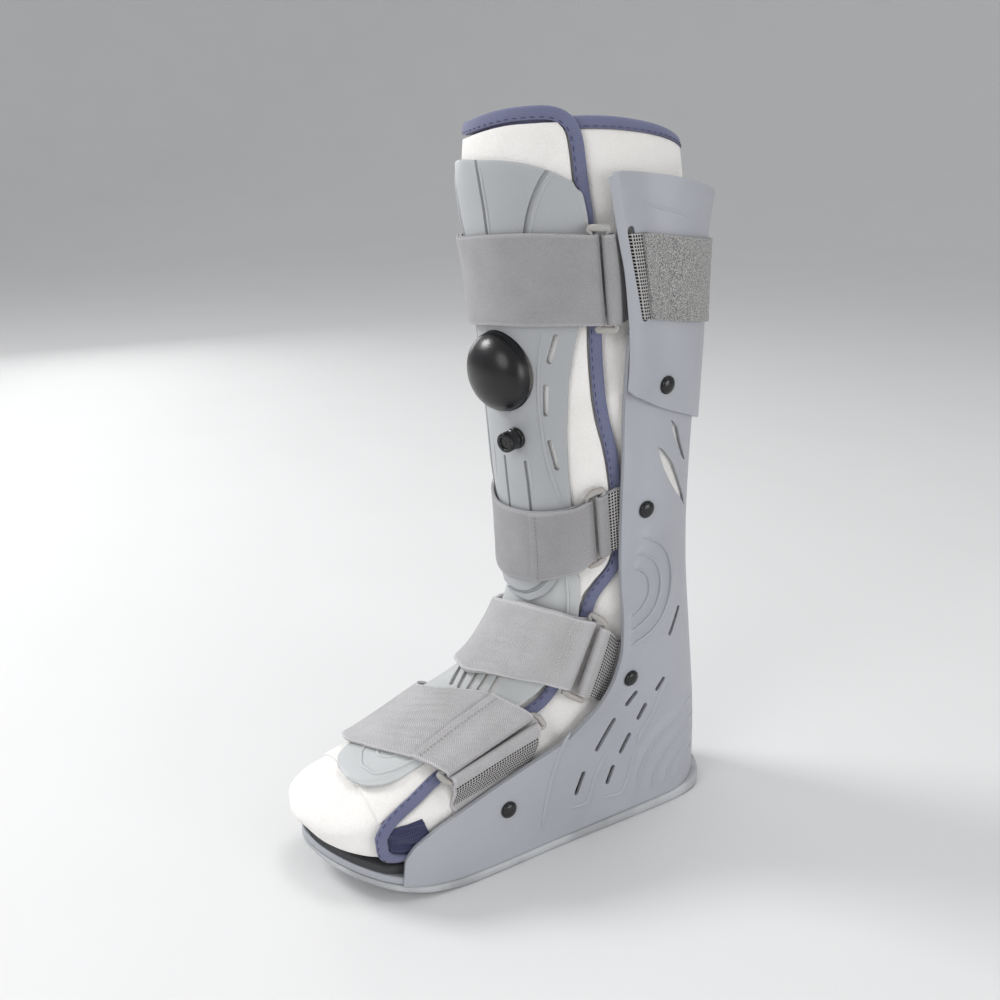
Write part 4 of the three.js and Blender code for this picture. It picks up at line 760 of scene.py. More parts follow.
def mirrored(marks, twice):  # marks on one side of the plate, and on the other if wanted
    turn = frontPlate["turn"]
    return [[(at, turn + sign * (angle - turn)) for at, angle in marks] for sign in (1, -1)] if twice else [marks]


def pumpSeat():  # where the pump stands and which way
    spot = (pump["at"], frontPlate["turn"], pump["seat"])
    return boot(*spot), bootOut(*spot)


def makeFrontPlate():
    rows = evenSections(0.8, 6.95, 2.4)[::-1]
    a, s = np.meshgrid(rows, np.linspace(0, 1, 56), indexing="ij")
    g = frontPlate["turn"] + (2 * s - 1) * (frontEdge(a) - frontPlate["turn"])
    a = a + 0.45 * np.abs(2 * s - 1) ** 3 * smooth(1.6 - a, 0, 0.8)
    lift = 0.35 * smooth(np.abs(2 * s - 1), 0.5, 0.72) * smooth(a, 3.3, 3.9) * (1 - smooth(a, 5.2, 5.7))
    sheet = gridPiece("shin_plate", boot(a, g, frontHigh(a) - lift))
    piece = thickened(sheet, frontPlate["sheet"], frontPlate["edge"])
    cutters = []
    for slot in frontPlate["vents"]:
        for (at, angle), (toAt, toAngle) in mirrored([slot[:2], slot[2:]], True):
            cutters.append(bootSlot("vent", at, angle, toAt, toAngle, frontPlate["vent"], frontPlate["ventHigh"]))
    r, (low, high) = pump["radius"] + pump["clear"], pump["hole"]
    cutters.append(spunPiece("hole", [(0, low), (r, low), (r, high), (0, high)], *pumpSeat(), 72))
    for marks, width, deep, twice in frontPlate["grooves"]:
        cutters += [groove("groove", line, width, deep, frontHigh) for line in mirrored(marks, twice)]
    cutOut(piece, cutters)
    for marks, wide, high, twice in frontPlate["ridges"]:
        raised(piece, [bead(*bootLine(line, frontHigh, 1.5), wide, high) for line in mirrored(marks, twice)])
    finished(piece, platePlastic, "front_plate", "front_plate")


def faceOut(piece):  # turns a small open strip so that it faces away from the boot's middle
    pick(piece)
    normals = np.array([list(face.normal) for face in piece.data.polygons])
    centres = np.array([list(face.center) for face in piece.data.polygons])
    axis = np.stack([centres[:, 0] * 0, np.full(len(centres), 0.055), centres[:, 2]], 1)
    if ((centres - axis) * normals).sum() < 0:
        bpy.ops.object.mode_set(mode="EDIT")
        bpy.ops.mesh.select_all(action="SELECT")
        bpy.ops.mesh.flip_normals()
        bpy.ops.object.mode_set(mode="OBJECT")
    return piece


def makeFootPlate():
    rows = evenSections(5.95, 16.22, 2.4)[::-1]
    a, s = np.meshgrid(rows, np.linspace(0, 1, 44), indexing="ij")
    g = frontPlate["turn"] + (2 * s - 1) * (footEdge(a) - frontPlate["turn"])
    high = frontPlate["base"] + footPlate["wall"]
    step = 0.7 * smooth(np.abs(2 * s - 1), 0.62, 0.72) * smooth(a, 6.1, 6.5) * (1 - smooth(a, 9.0, 10.5))
    rim = 0.5 * smooth(np.abs(2 * s - 1), 0.8, 0.9) * smooth(a, 14.2, 14.8)
    piece = thickened(gridPiece("instep_plate", boot(a, g, high - step - rim)), footPlate["wall"], footPlate["edge"])
    flat = lambda at: np.full(np.shape(at), high)
    cutOut(piece, [bootSlot("slot", *slot, footPlate["vent"], footPlate["ventHigh"]) for slot in footPlate["slots"]])
    raised(piece, [bead(*bootLine(marks, flat, 1.5), wide, tall) for marks, wide, tall in footPlate["ridges"]])
    finished(cleaned(piece), footPlatePlastic, "foot_plate", "foot_plate")


# pump bulb, valve and its turning knob

pump = {"at": 3.92, "radius": 23.5, "high": 19.6, "seat": 3.9, "side": 4.4, "clear": 0.5, "hole": (-16, 26)}
valve = {"at": 4.58, "turn": 16.5, "seat": 7.7, "radius": 6.0, "length": 9.0, "foot": 2.4,
         "grips": 22, "gripDeep": 0.28, "edge": 0.12}


def makePump():
    r, h, side = pump["radius"], pump["high"], pump["side"]
    dome = [(r * np.cos(t), side + (h - side) * np.sin(t)) for t in np.linspace(0, np.pi / 2, 30)]
    profile = [(0, 0.4), (r - 1, 0.4), (r, 1.2), (r, 2.8)] + dome
    profile[-1] = (0, h)
    bulb = spunPiece("pump_bulb_rubber", profile, *pumpSeat(), 72)
    finished(bulb, pumpRubber, "pump_rubber", "pump_bulb", angle=50)


def makeValve():
    spot = (valve["at"], valve["turn"], valve["seat"])
    place, out = boot(*spot), bootOut(*spot)
    r, foot, top = valve["radius"], valve["foot"], valve["foot"] + valve["length"]
    collar = [(0, 0), (r + 0.5, 0), (r + 0.5, 0.3), (r + 0.5, foot - 0.5), (r, foot), (0, foot)]
    base = spunPiece("valve_collar", rounded(collar, 0.25, 1), place, out, 48)
    finished(base, blackPlastic, "black_plastic", "valve_base")
    profile = np.array([
        (0, foot + 0.3), (r - 0.5, foot + 0.3), (r, foot + 0.8), (r, foot + 2.2), (r - 0.5, foot + 2.6),
        (r - 0.5, foot + 3.0), (r, foot + 3.4), (r, top - 1.2), (r - 0.35, top - 0.4), (r - 1.2, top), (r - 2.2, top),
        (r - 2.5, top - 0.3), (r - 2.7, top - 1.4), (1.2, top - 1.4), (0.9, top - 1.1), (0, top - 1.1)])
    turn = np.linspace(0, 2 * np.pi, valve["grips"] * 6 + 1)
    side = unit(np.cross(out, (0, 0, 1.0)))
    ahead = np.cross(out, side)
    grip = valve["gripDeep"] * (0.5 - 0.5 * np.cos(turn * valve["grips"])) ** 2
    far, high = profile.T
    gripped = smooth(high, foot + 3.0, foot + 3.4) * (1 - smooth(high, top - 1.2, top - 0.4)) * (far > 4.6)
    radius = far[:, None] - grip[None] * gripped[:, None]
    ring = np.cos(turn)[:, None] * side + np.sin(turn)[:, None] * ahead
    points = place + radius[..., None] * ring[None] + high[:, None, None] * out
    knob = softEdges(weld(gridPiece("valve_knob_cap", points)), valve["edge"], 40)
    finished(knob, blackPlastic, "black_plastic", "valve_knob", body="valve_knob")


makeFrontPlate()
makeFootPlate()
makePump()
makeValve()
print("plates, pump and valve made")


# sole, shell floor and footbed: sections from heel to toe

sole = {
    "y": [141.3, 140.8, 138.6, 133.4, 124, 108, 85, 50, 5, -40, -66, -84, -100, -112, -124, -133, -139, -141.5, -142.1],
    "half": [1, 8, 19.5, 29.5, 37.5, 42, 44.5, 46.8, 49.5, 53.5, 55, 54.4, 51, 46, 37, 27, 16, 6, 1],
    "bottom": [9.0, 8.4, 6, 3.2, 1, 0, 0, 0, 0, 0, 0.3, 2, 4.8, 7.6, 11, 14, 16.4, 18, 18.4],
    "top": [12.2, 12, 11.4, 10.2, 8.6, 7.4, 6.6, 6, 6, 6, 6.2, 7.4, 9.6, 12, 15, 17.6, 19.6, 20.8, 21],
    "shift": [0, 0, 0, 0, 0, 0, 0, 0, 0, 0, 0, 0, -0.5, -2, -4.5, -7.5, -10, -11, -11],
    "floor": 5.0, "clear": 0.35, "edge": 2.2,
    "treads": {"first": -108, "last": 118, "step": 11.0, "inset": 7, "half": 1.6, "deep": 1.3, "edge": 0.6},
}
soleAt = {key: through(sole["y"], sole[key]) for key in ("half", "bottom", "top", "shift")}


def slabLoops(ys, half, low, high, shift, edge, count=7):  # rounded bar sections across the boot
    loops = []
    for y, h, a, b, x in zip(ys, half, low, high, shift):
        r = min(edge, h * 0.7, (b - a) * 0.46)
        arc = np.linspace(0, np.pi / 2, count)
        corners = [(h - r, b - r, 0), (-h + r, b - r, 1), (-h + r, a + r, 2), (h - r, a + r, 3)]
        turns = [(cx, cz, t + k * np.pi / 2) for cx, cz, k in corners for t in arc]
        loops.append([(x + (cx + r * np.cos(t)), y, cz + r * np.sin(t)) for cx, cz, t in turns])
    return np.array(loops)


def lengthwise(first, last, count):  # stations from heel to toe, closer at both ends
    return mix(first, last, 0.5 - 0.5 * np.cos(np.linspace(0, np.pi, count)))


def makeSole():
    ys = lengthwise(141.25, -142.05, 130)
    table = [soleAt[key](ys) for key in ("half", "bottom", "top", "shift")]
    piece = tubePiece("rocker_sole", slabLoops(ys, *table, sole["edge"]))
    tread = sole["treads"]
    bars = []
    for y in np.arange(tread["first"], tread["last"], tread["step"]):
        half = float(soleAt["half"](y)) - tread["inset"]
        low = float(soleAt["bottom"](y))
        for x in (-half / 2 - 1, half / 2 + 1):
            ends = [y - tread["half"], y + tread["half"]]
            box = [[value] * 2 for value in (half / 2 - 2, low - 3, low + tread["deep"], x)]
            bars.append(tubePiece("tread", slabLoops(ends, *box, tread["edge"], 3)))
    cutOut(piece, bars)
    finished(piece, soleRubber, "sole", "outsole")


def makeFootbed():
    ys = lengthwise(135.6, -140.7, 120)
    table = through(bootie["backY"][11:], np.array(bootie["backZ"][11:]) - 0.7)
    beside = np.minimum(shellHalf(ys + 3.8, 16.0), shellHalf(ys - 2, 16.0)) - 4.6
    half = np.maximum(np.minimum(soleAt["half"](ys) - 1.4, np.where(ys > -110, beside, 99)), 0.6)
    low = soleAt["top"](ys) + 2 * sole["clear"] + sole["floor"]
    high = np.maximum(table(ys), low + 3)
    piece = tubePiece("foam_footbed", slabLoops(ys, half, low, high, soleAt["shift"](ys), 1.5))
    finished(piece, footbedFoam, "footbed", "footbed")


# heel and ankle shell

shell = {
    "z": [12, 26, 35, 42, 50, 58, 66, 74, 84, 97, 112, 130, 150, 175, 210, 250, 290, 328],
    "back": [140.4, 140, 139.6, 139.3, 138.8, 138.1, 137.3, 136.4, 135.1,
             133.2, 131, 128.4, 125.5, 122.5, 120.2, 119.4, 119.3, 118.4],
    "half": [50, 50, 50, 50, 50, 50, 50, 50, 50.2, 50.6, 51, 51.6, 52.6, 53.6, 55.2, 57.4, 59.6, 61],
    "front": [-104, -103, -98, -88, -69, -46, -19, 7, 23, 36, 44, 47.5, 46.5, 43, 40.4, 39, 38, 38.5],
    "planBack": [48, 90, 135, 180, 206, 225, 246], "planHalf": [42.4, 45, 48.6, 52.6, 54, 53.6, 49.6],
    "wall": 3.0, "edge": 0.4, "flare": 1.6, "legDepth": 62.0, "heelDepth": 48.0, "heelHalf": 42.4,
    "slot": 3.4,
    "slots": [(54.5, 87, 63, 96), (78.5, 91.5, 85, 100), (65.5, 73.5, 71.5, 84.5), (33, 60, 47, 80.5),
              (53, 52, 60.5, 65.5), (86.5, 129, 96.5, 146.5), (18, 33, 24.5, 48.5), (43.5, 32, 48.5, 45)],
    "hooks": [
        [(73.5, 274.5), (77.5, 271.5), (81.5, 267.5), (85.5, 257.5), (90, 251), (94, 243.5), (90.5, 246.2), (86, 251.2),
         (81, 258.2), (76.5, 266)],
        [(64.5, 259), (68.5, 256.8), (73.5, 252), (79, 246), (84.5, 237.5), (90, 229), (95.5, 221), (98.5, 212.5),
         (95, 217.2), (86.5, 224.5), (78, 234), (70.5, 244.5), (66.5, 252.5)],
    ],
    "ridge": (1.7, 1.2),  # half width, height
    "ridges": [
        [(11.5, 81.5), (5.5, 70.5), (-0.5, 55.5), (-5.5, 35), (-8.5, 17.5)],
        [(41, 56), (33, 40.5), (27.5, 23.5), (14, 25)],
        [(65.5, 49.5), (61, 30.5), (56.5, 20.5), (40.5, 23)],
        [(88, 99.5), (82, 86.5), (76.5, 72.5), (68, 60), (66.5, 53)],
    ],
    "ripples": [((49, 168), [16.4, 25.8, 36.2], -88, 76), ((122, 18), [16, 28, 40, 54], 78, 182)],
    "rippleHigh": 1.25, "rippleFall": 8.4, "crest": (0.9, 0.75), "hookThin": 0.42, "frontThin": 0.2,
}
shellAt = {key: through(shell["z"], shell[key]) for key in ("back", "half", "front")}
planHalf = through(shell["planBack"], shell["planHalf"])


def ovalHalf(distance, half, depth):  # half width of a rounded back at a distance from it
    return half * np.sqrt(np.maximum(0, 1 - (1 - np.minimum(distance / depth, 1)) ** 2))


def shellHalf(y, z):  # half width of the shell's outside
    y, z = np.broadcast_arrays(np.asarray(y, float), np.asarray(z, float))
    distance = np.maximum(shellAt["back"](z) - y, 0)
    heel = ovalHalf(distance, shell["heelHalf"], shell["heelDepth"])
    foot = np.where(distance < shell["heelDepth"], heel, planHalf(distance))
    leg = ovalHalf(distance, shellAt["half"](z), shell["legDepth"])
    ankle = smooth(z, 60, 100) * (1 - smooth(z, 250, 285))
    flare = shell["flare"] * ankle * (1 - smooth(y - shellAt["front"](z), 0, 18))
    return mix(foot, leg, smooth(z, 14, 135)) + flare


def sidePlace(half, y, z, sign):  # point on one side of the shell or cuff
    return np.stack([sign * half(y, z), np.asarray(y, float), np.asarray(z, float)], -1)


def sideOut(half, y, z, sign):  # outward direction there
    y, z = np.asarray(y, float), np.asarray(z, float)
    slopeY, slopeZ = (half(y + 1, z) - half(y - 1, z)) / 2, (half(y, z + 1) - half(y, z - 1)) / 2
    return unit(np.stack([np.full(y.shape, float(sign)), -slopeY, -slopeZ], -1))


def sideBead(half, marks, sign, wide, high):  # a raised line drawn in side view
    line = rounded(marks, 1.6, 3)
    path, out = sidePlace(half, line[:, 0], line[:, 1], sign), sideOut(half, line[:, 0], line[:, 1], sign)
    return bead(path, unit(np.cross(np.gradient(path, axis=0), out)), out, wide, high)


def rippled(y, z):  # rings of the ankle and heel: each steps out of the shell and falls away outwards
    total = np.zeros(np.shape(y))
    for (middleAlong, middleUp), radii, first, last in shell["ripples"]:
        far = np.hypot(y - middleAlong, z - middleUp)
        turn = np.degrees(np.arctan2(z - middleUp, y - middleAlong))
        turn = np.where(turn < first - 60, turn + 360, turn)
        seen = smooth(turn, first - 8, first + 6) * (1 - smooth(turn, last - 6, last + 8))
        for r in radii:
            step = smooth(far - r, -1.2, 0.4) * (1 - smooth(far - r, 0.6, shell["rippleFall"]))
            total = np.maximum(total, step * seen)
    clear = smooth(y - shellAt["front"](z), 1, 6) * (1 - smooth(y - shellAt["back"](z), -20, -9)) * smooth(z, 13, 20)
    return shell["rippleHigh"] * total * clear


def rippleLines():  # the crest of each ring in side view, kept on the shell
    lines = []
    for (middleAlong, middleUp), radii, first, last in shell["ripples"]:
        for r in radii:
            turn = np.radians(np.linspace(first, last, int(r * 1.4) + 6))
            line = np.stack([middleAlong + r * np.cos(turn), middleUp + r * np.sin(turn)], 1)
            y, z = line.T
            inside = (y > shellAt["front"](z) + 4) & (y < shellAt["back"](z) - 12) & (z > 16)
            lines.append(line[inside])
    return lines


def sidePrism(outline, sign, near=20.0, far=90.0):  # cutter through one side, outline in side view
    line = np.asarray(outline, float)
    loops = [np.stack([np.full(len(line), sign * x), line[:, 0], line[:, 1]], 1) for x in (near, far)]
    return tubePiece("cutter", np.stack(loops))


def slotLine(y, z, toY, toZ, width):  # outline of a round ended slot in side view
    start, end = np.array((y, z), float), np.array((toY, toZ), float)
    along = unit(end - start)
    side = np.array((-along[1], along[0]))
    turn = np.linspace(-np.pi / 2, np.pi / 2, 7)[:, None]
    a = end - along * width / 2 + (np.cos(turn) * along + np.sin(turn) * side) * width / 2
    b = start + along * width / 2 - (np.cos(turn) * along + np.sin(turn) * side) * width / 2
    return np.concatenate([a, b])


def hookZone(y, z):  # 1 round the hooked vents, where the wall is thin and the bootie swells
    return smooth(z, 200, 209) * (1 - smooth(z, 276, 284)) * smooth(y, 54, 61) * (1 - smooth(y, 101, 108))


def makeShell():
    spans = ((7.5, 80, 46), (83, 110, 10), (111.6, 235, 78), (239, 328, 23))  # closer rows where the rings are
    rows = np.concatenate([np.linspace(*span) for span in spans])
    z, s = np.meshgrid(rows, np.linspace(1, -1, 231), indexing="ij")
    back, front = shellAt["back"](z), shellAt["front"](z)
    y = back - (back - front) * (1 - np.cos(np.abs(s) * np.pi / 2)) ** 0.95
    x = np.sign(s) * (shellHalf(y, z) + rippled(y, z))
    low = soleAt["top"](y) + sole["clear"]
    z = z + (low - rows[0]) * (1 - smooth(z, rows[0], 22))
    piece = thickened(gridPiece("heel_shell", np.stack([x, y, z], -1)), shell["wall"])
    thin = np.maximum(shell["hookThin"] * hookZone(y, z), shell["frontThin"] * smooth(y - front, 4, 10))
    tapered(piece, thin, inner=True)
    softEdges(piece, shell["edge"])
    ys = lengthwise(139.9, -142.0, 120)
    beside = np.where(ys > -90, shellHalf(ys, 12.0) - 0.5, 99)
    half = np.maximum(np.minimum(soleAt["half"](ys) - 0.8, beside), 0.5)
    low = soleAt["top"](ys) + sole["clear"]
    floor = tubePiece("shell_floor", slabLoops(ys, half, low, low + sole["floor"], soleAt["shift"](ys), 1.3))
    cutters = []
    for sign in (1, -1):
        cutters += [sidePrism(slotLine(*slot, shell["slot"]), sign) for slot in shell["slots"]]
        cutters += [sidePrism(rounded(hook + hook[:1], 1.6, 2)[:-1], sign) for hook in shell["hooks"]]
    cutOut(piece, cutters)
    applied(piece, "BOOLEAN", object=floor, operation="UNION", solver="EXACT")
    bpy.data.objects.remove(floor)
    raised(piece, [sideBead(shellHalf, marks, sign, *shell["ridge"]) for sign in (1, -1) for marks in shell["ridges"]])
    rings = lambda y, z: shellHalf(y, z) + rippled(y, z)
    raised(piece, [sideBead(rings, marks, sign, *shell["crest"]) for sign in (1, -1) for marks in rippleLines()])
    finished(cleaned(piece), shellPlastic, "shell", "foot_shell")


# calf cuff

cuff = {
    "z": [272, 295, 305, 325, 345, 364, 379, 394, 406, 418],
    "back": [123.2, 123.3, 123.2, 122.8, 122, 121.8, 122, 123.4, 125.4, 128],
    "half": [62.6, 63.4, 64, 65, 65.4, 65.5, 65.6, 66, 66.5, 67],
    "front": [35, 34.5, 34.5, 33.5, 31, 28, 24, 20, 17, 13.5],
    "flare": 5.3, "reach": 30.0, "depth": 66.0, "wall": 3.0, "edge": 0.3, "corner": 3.4,
    "frontThin": 0.8, "thinReach": 4.4, "topFront": 417, "topBack": 399,
    "lowShare": [0, 0.3, 0.61, 0.81, 0.92, 1], "low": [262, 266, 276, 284.5, 291.5, 296],
    "slot": (29.5, 386.5, 43.5, 335.5), "slotWidth": 5.4, "crease": (0.8, 0.45),
    "creases": [[(25.5, 409), (29, 404.5), (32, 400.5)], [(35.5, 400.5), (51.5, 397), (66.5, 393.5), (88.5, 387)]],
}
cuffAt = {key: through(cuff["z"], cuff[key]) for key in ("back", "half", "front")}


def cuffHalf(y, z):  # half width of the cuff's outside
    y, z = np.broadcast_arrays(np.asarray(y, float), np.asarray(z, float))
    flare = cuff["flare"] * (1 - smooth(y - cuffAt["front"](z), 0, cuff["reach"]))
    return ovalHalf(np.maximum(cuffAt["back"](z) - y, 0), cuffAt["half"](z), cuff["depth"]) + flare


def makeCuff():
    v, s = np.meshgrid(np.linspace(0, 1, 52), np.linspace(1, -1, 141), indexing="ij")
    rise = smooth(np.abs(s), 0.1, 1)
    corner = cuff["corner"] * smooth(np.abs(s), 0.95, 1) ** 2
    low = through(cuff["lowShare"], cuff["low"])(np.abs(s)) + 0.5 * corner
    z = mix(low, mix(cuff["topBack"], cuff["topFront"], rise) - corner, v)
    back = cuffAt["back"](z)
    y = back - (back - cuffAt["front"](z)) * (1 - np.cos(np.abs(s) * np.pi / 2))
    piece = thickened(gridPiece("calf_cuff_shell", np.stack([np.sign(s) * cuffHalf(y, z), y, z], -1)), cuff["wall"])
    tapered(piece, cuff["frontThin"] * np.clip(1 - (y - cuffAt["front"](z)) / cuff["thinReach"], 0, 1))
    softEdges(piece, cuff["edge"])
    y, z, toY, toZ = cuff["slot"]
    slot = slotLine(y - 0.4, z + 2, toY - 0.3, toZ + 1, cuff["slotWidth"])
    cutOut(piece, [sidePrism(slot, sign, 30) for sign in (1, -1)])
    raised(piece, [sideBead(cuffHalf, marks, sign, *cuff["crease"]) for sign in (1, -1) for marks in cuff["creases"]])
    finished(cleaned(piece), shellPlastic, "shell", "calf_cuff", angle=20)


makeBootie()
makeSole()
makeShell()
makeFootbed()
makeCuff()
print("bootie, sole, shell and cuff made")


# straps, rings and anchors

webbing = {"wall": 1.6, "edge": 0.5, "clear": 0.35, "boxy": 5.0, "lift": 16, "flat": (28, 8),
           "bar": 1.25, "spacing": 7.4, "overhang": 3.4, "corner": 2.4, "end": 2.0, "ears": 2.2,
           "ringSquare": 2.4, "ringHigh": 1.8, "meshWall": 0.36, "meshEdge": 0.1}
webbing["fold"] = webbing["bar"] + 0.4 + webbing["wall"] / 2
closures = {
    "calf_upper": dict(
        ring=66.2, end=-34, overTop=9.4, overLow=9.4, base=9, edge=75, edgeHeight=3.6, drop=5, anchor=86, fold=7.0,
        angles=[-60, -20, 12, 36, 52, 66], tops=[2.34, 2.34, 2.24, 2.18, 2.17, 2.17],
        lows=[3.46, 3.48, 3.4, 3.36, 3.335, 3.32], cloth=calfWebbing),
    "calf_lower": dict(
        ring=59, end=22, overTop=9.8, overLow=12.2, base=5.6, edge=73, edgeHeight=4.2, drop=10, anchor=94, fold=3.6,
        angles=[-60, -30, -8, 10, 24, 36.5, 48, 57, 72], tops=[5.2, 5.33, 5.38, 5.365, 5.34, 5.3, 5.235, 5.15, 5.06],
        lows=[5.95, 6.3, 6.47, 6.4, 6.32, 6.18, 6.035, 5.86, 5.76], cloth=calfWebbing, mesh=(-1.4, 11.0)),
    "instep": dict(
        ring=60, end=-24, overTop=10.3, overLow=10.3, base=5.6, edge=74, edgeHeight=2, drop=5, anchor=94, fold=3.2,
        angles=[-60, -40, -10, 4, 18, 35, 47, 58, 75], tops=[7.8, 7.85, 7.45, 7.2, 7.05, 7.04, 7.12, 7.22, 7.74],
        lows=[10.1, 10.8, 11.25, 11.3, 10.88, 10.36, 9.98, 9.84, 9.98], cloth=footWebbing, mesh=(-2.4, 9.6)),
    "forefoot": dict(
        ring=58, end=31, overTop=9.8, overLow=9.15, base=6.4, edge=78, edgeHeight=2, drop=5, anchor=96, fold=5.2,
        angles=[-60, -22, 0, 15, 31, 46, 57, 70, 84], tops=[12.7, 12.95, 12.58, 12, 11.5, 11.47, 11.6, 12.05, 12.65],
        lows=[15.1, 15.5, 15.2, 14.85, 14.45, 14.2, 14.1, 14.2, 14.45], cloth=footWebbing, mesh=(-1.4, 16.0)),
}


class Closure:  # one strap, its ring and its anchor
    def __init__(self, facts):
        self.facts = facts
        self.topAt, self.lowAt = [through(facts["angles"], facts[key]) for key in ("tops", "lows")]
        half = float(section["half"](self.sectionAt(facts["ring"], 0.5)))
        turn = math.degrees(webbing["spacing"] / 2 / (half + facts["base"]))
        self.frontBar, self.rearBar = facts["ring"] - turn, facts["ring"] + turn
        bars = (self.frontBar, self.rearBar)
        seats = [[self.place(bar, share, facts["base"], 1) for share in (0, 1)] for bar in bars]
        (a, b), (c, d) = seats
        self.out = unit(np.cross(b - a, c + d - a - b))
        self.out = self.out * np.sign(self.out[0])
        self.bars = [[end + self.out * webbing["fold"] for end in seat] for seat in seats]
        self.down = [unit(low - top) for top, low in seats]

    def sectionAt(self, angle, share):  # share 0 at the strap's upper edge, 1 at its lower
        turn = np.maximum(np.asarray(angle, float), self.facts["angles"][0])
        return mix(self.topAt(turn), self.lowAt(turn), share)

    def place(self, angle, share, height, weight):  # bowed round the bootie at weight 0, straight across at 1
        top, low = [boot(self.sectionAt(angle, end), angle, height) for end in (0, 1)]
        line = mix(top, low, np.asarray(share)[..., None])
        bowed = boot(self.sectionAt(angle, share), angle, height)
        return mix(bowed, line, np.asarray(weight)[..., None])

    def lifted(self, points, angle, share, extra, weight):  # out from the bootie at weight 0, from the ring at 1
        local = bootOut(self.sectionAt(angle, share), angle, self.facts["base"])
        return points + unit(mix(local, self.out, np.asarray(weight)[..., None])) * np.asarray(extra)[..., None]

    def bend(self, share, which, sign):  # round a bar of the ring
        top, low = self.bars[which]
        centre = mix(top, low, np.asarray(share)[:, None])
        ahead = unit(np.cross(self.down[which], self.out))
        if ahead @ (self.bars[1][0] - self.bars[0][0]) < 0:
            ahead = -ahead
        t = np.linspace(0.04, 0.96, 17)
        c, n = squared(np.cos(t * np.pi), webbing["boxy"]), squared(np.sin(t * np.pi), webbing["boxy"])
        arc = -c[:, None] * self.out + sign * n[:, None] * ahead
        return centre[None] + webbing["fold"] * arc[:, None]

    def under(self, share):  # height of the strap's inner layer along its length
        f = self.facts
        over = mix(f["overTop"], f["overLow"], min(2 * share, 1))
        return through([-f["anchor"], -f["edge"] - 4, -f["edge"], -f["edge"] + 14, -40, 44, self.frontBar],
                       [1.25, 1.4, 2, min(over, 5.6), over, over, f["base"]])

    def inner(self, angle, share):  # the strap on its way to the ring
        weight = smooth(angle, *[self.frontBar - far for far in webbing["flat"]])
        return self.place(angle, np.full(angle.shape, share), self.under(share)(angle), weight)

    def outer(self, angle, share, above=0.0):  # the strap on its way back, and how near the ring it is
        near = smooth(angle, self.frontBar - webbing["lift"], self.frontBar)
        apart = mix(webbing["wall"] + webbing["clear"], 2 * webbing["fold"], near) + above
        return self.lifted(self.inner(angle, share), angle, np.full(angle.shape, share), apart, near), near

    def strapRows(self, shares):
        f = self.facts
        ahead = np.linspace(-f["anchor"], self.frontBar, int((self.frontBar + f["anchor"]) / 1.6))
        back = np.linspace(self.frontBar, f["end"], max(12, int((self.frontBar - f["end"]) / 1.6)))
        columns = []
        for share in shares:
            layers = self.inner(ahead, share), self.bend([share], 0, 1)[:, 0], self.outer(back, share)[0]
            columns.append(np.concatenate(layers))
        return np.stack(columns, 1)

    def anchorHeight(self):  # from the ring down to the shell's edge and in behind it
        base, edge, high, drop, anchor = [self.facts[key] for key in ("base", "edge", "edgeHeight", "drop", "anchor")]
        return through([self.rearBar, 0.55 * self.rearBar + 0.45 * edge, edge, edge + drop, anchor],
                       [base, 0.85 * base + 0.15 * high, high, 0.35 * high + 0.6, 1.25])

    def anchorRows(self, shares):
        f = self.facts
        height = self.anchorHeight()
        inward = np.linspace(f["anchor"], self.rearBar, 34)
        self.backEnd = self.rearBar + f["fold"]
        back = np.linspace(self.rearBar, self.backEnd, 12)
        weight = lambda g: 1 - smooth(g, self.rearBar, f["edge"])
        columns = []
        near = 1 - smooth(back, self.rearBar, self.backEnd)
        apart = mix(webbing["wall"] + 3 * webbing["clear"], 2 * webbing["fold"], near)
        for share in shares:
            first = self.place(inward, np.full(inward.shape, share), height(inward), weight(inward))
            s = np.full(back.shape, share)
            second = self.lifted(self.place(back, s, height(back), weight(back)), back, s, apart, near)
            columns.append(np.concatenate([first, self.bend([share], 1, -1)[:, 0], second]))
        return np.stack(columns, 1)

    def ringLoop(self):  # middle line of the ring, with ears past the webbing's edges
        (a, b), (c, d) = self.bars
        front, rear = [down * webbing["overhang"] for down in self.down]
        corners = [a - front, b + front, d + rear, c - rear]
        loop = []
        for i, corner in enumerate(corners):
            before, after = unit(corners[i - 1] - corner), unit(corners[(i + 1) % 4] - corner)
            for t in np.linspace(0, 1, 8):
                loop.append(corner + webbing["corner"] * (before * (1 - t) ** 2 + after * t * t))
            far = np.linalg.norm(corners[(i + 1) % 4] - corner)
            for t in np.linspace(webbing["corner"], far - webbing["corner"], 15)[1:-1]:
                loop.append(corner + after * t)
        loop = np.array(loop)
        ahead = unit((c + d - a - b) / 2)
        beyond = np.abs((loop - (a + b + c + d) / 4) @ self.down[0]) - np.linalg.norm(b - a) / 2
        side = np.sign((loop - (a + b + c + d) / 4) @ ahead)
        return loop + ahead * (side * webbing["ears"] * smooth(beyond, 0.2, 2.6))[:, None]


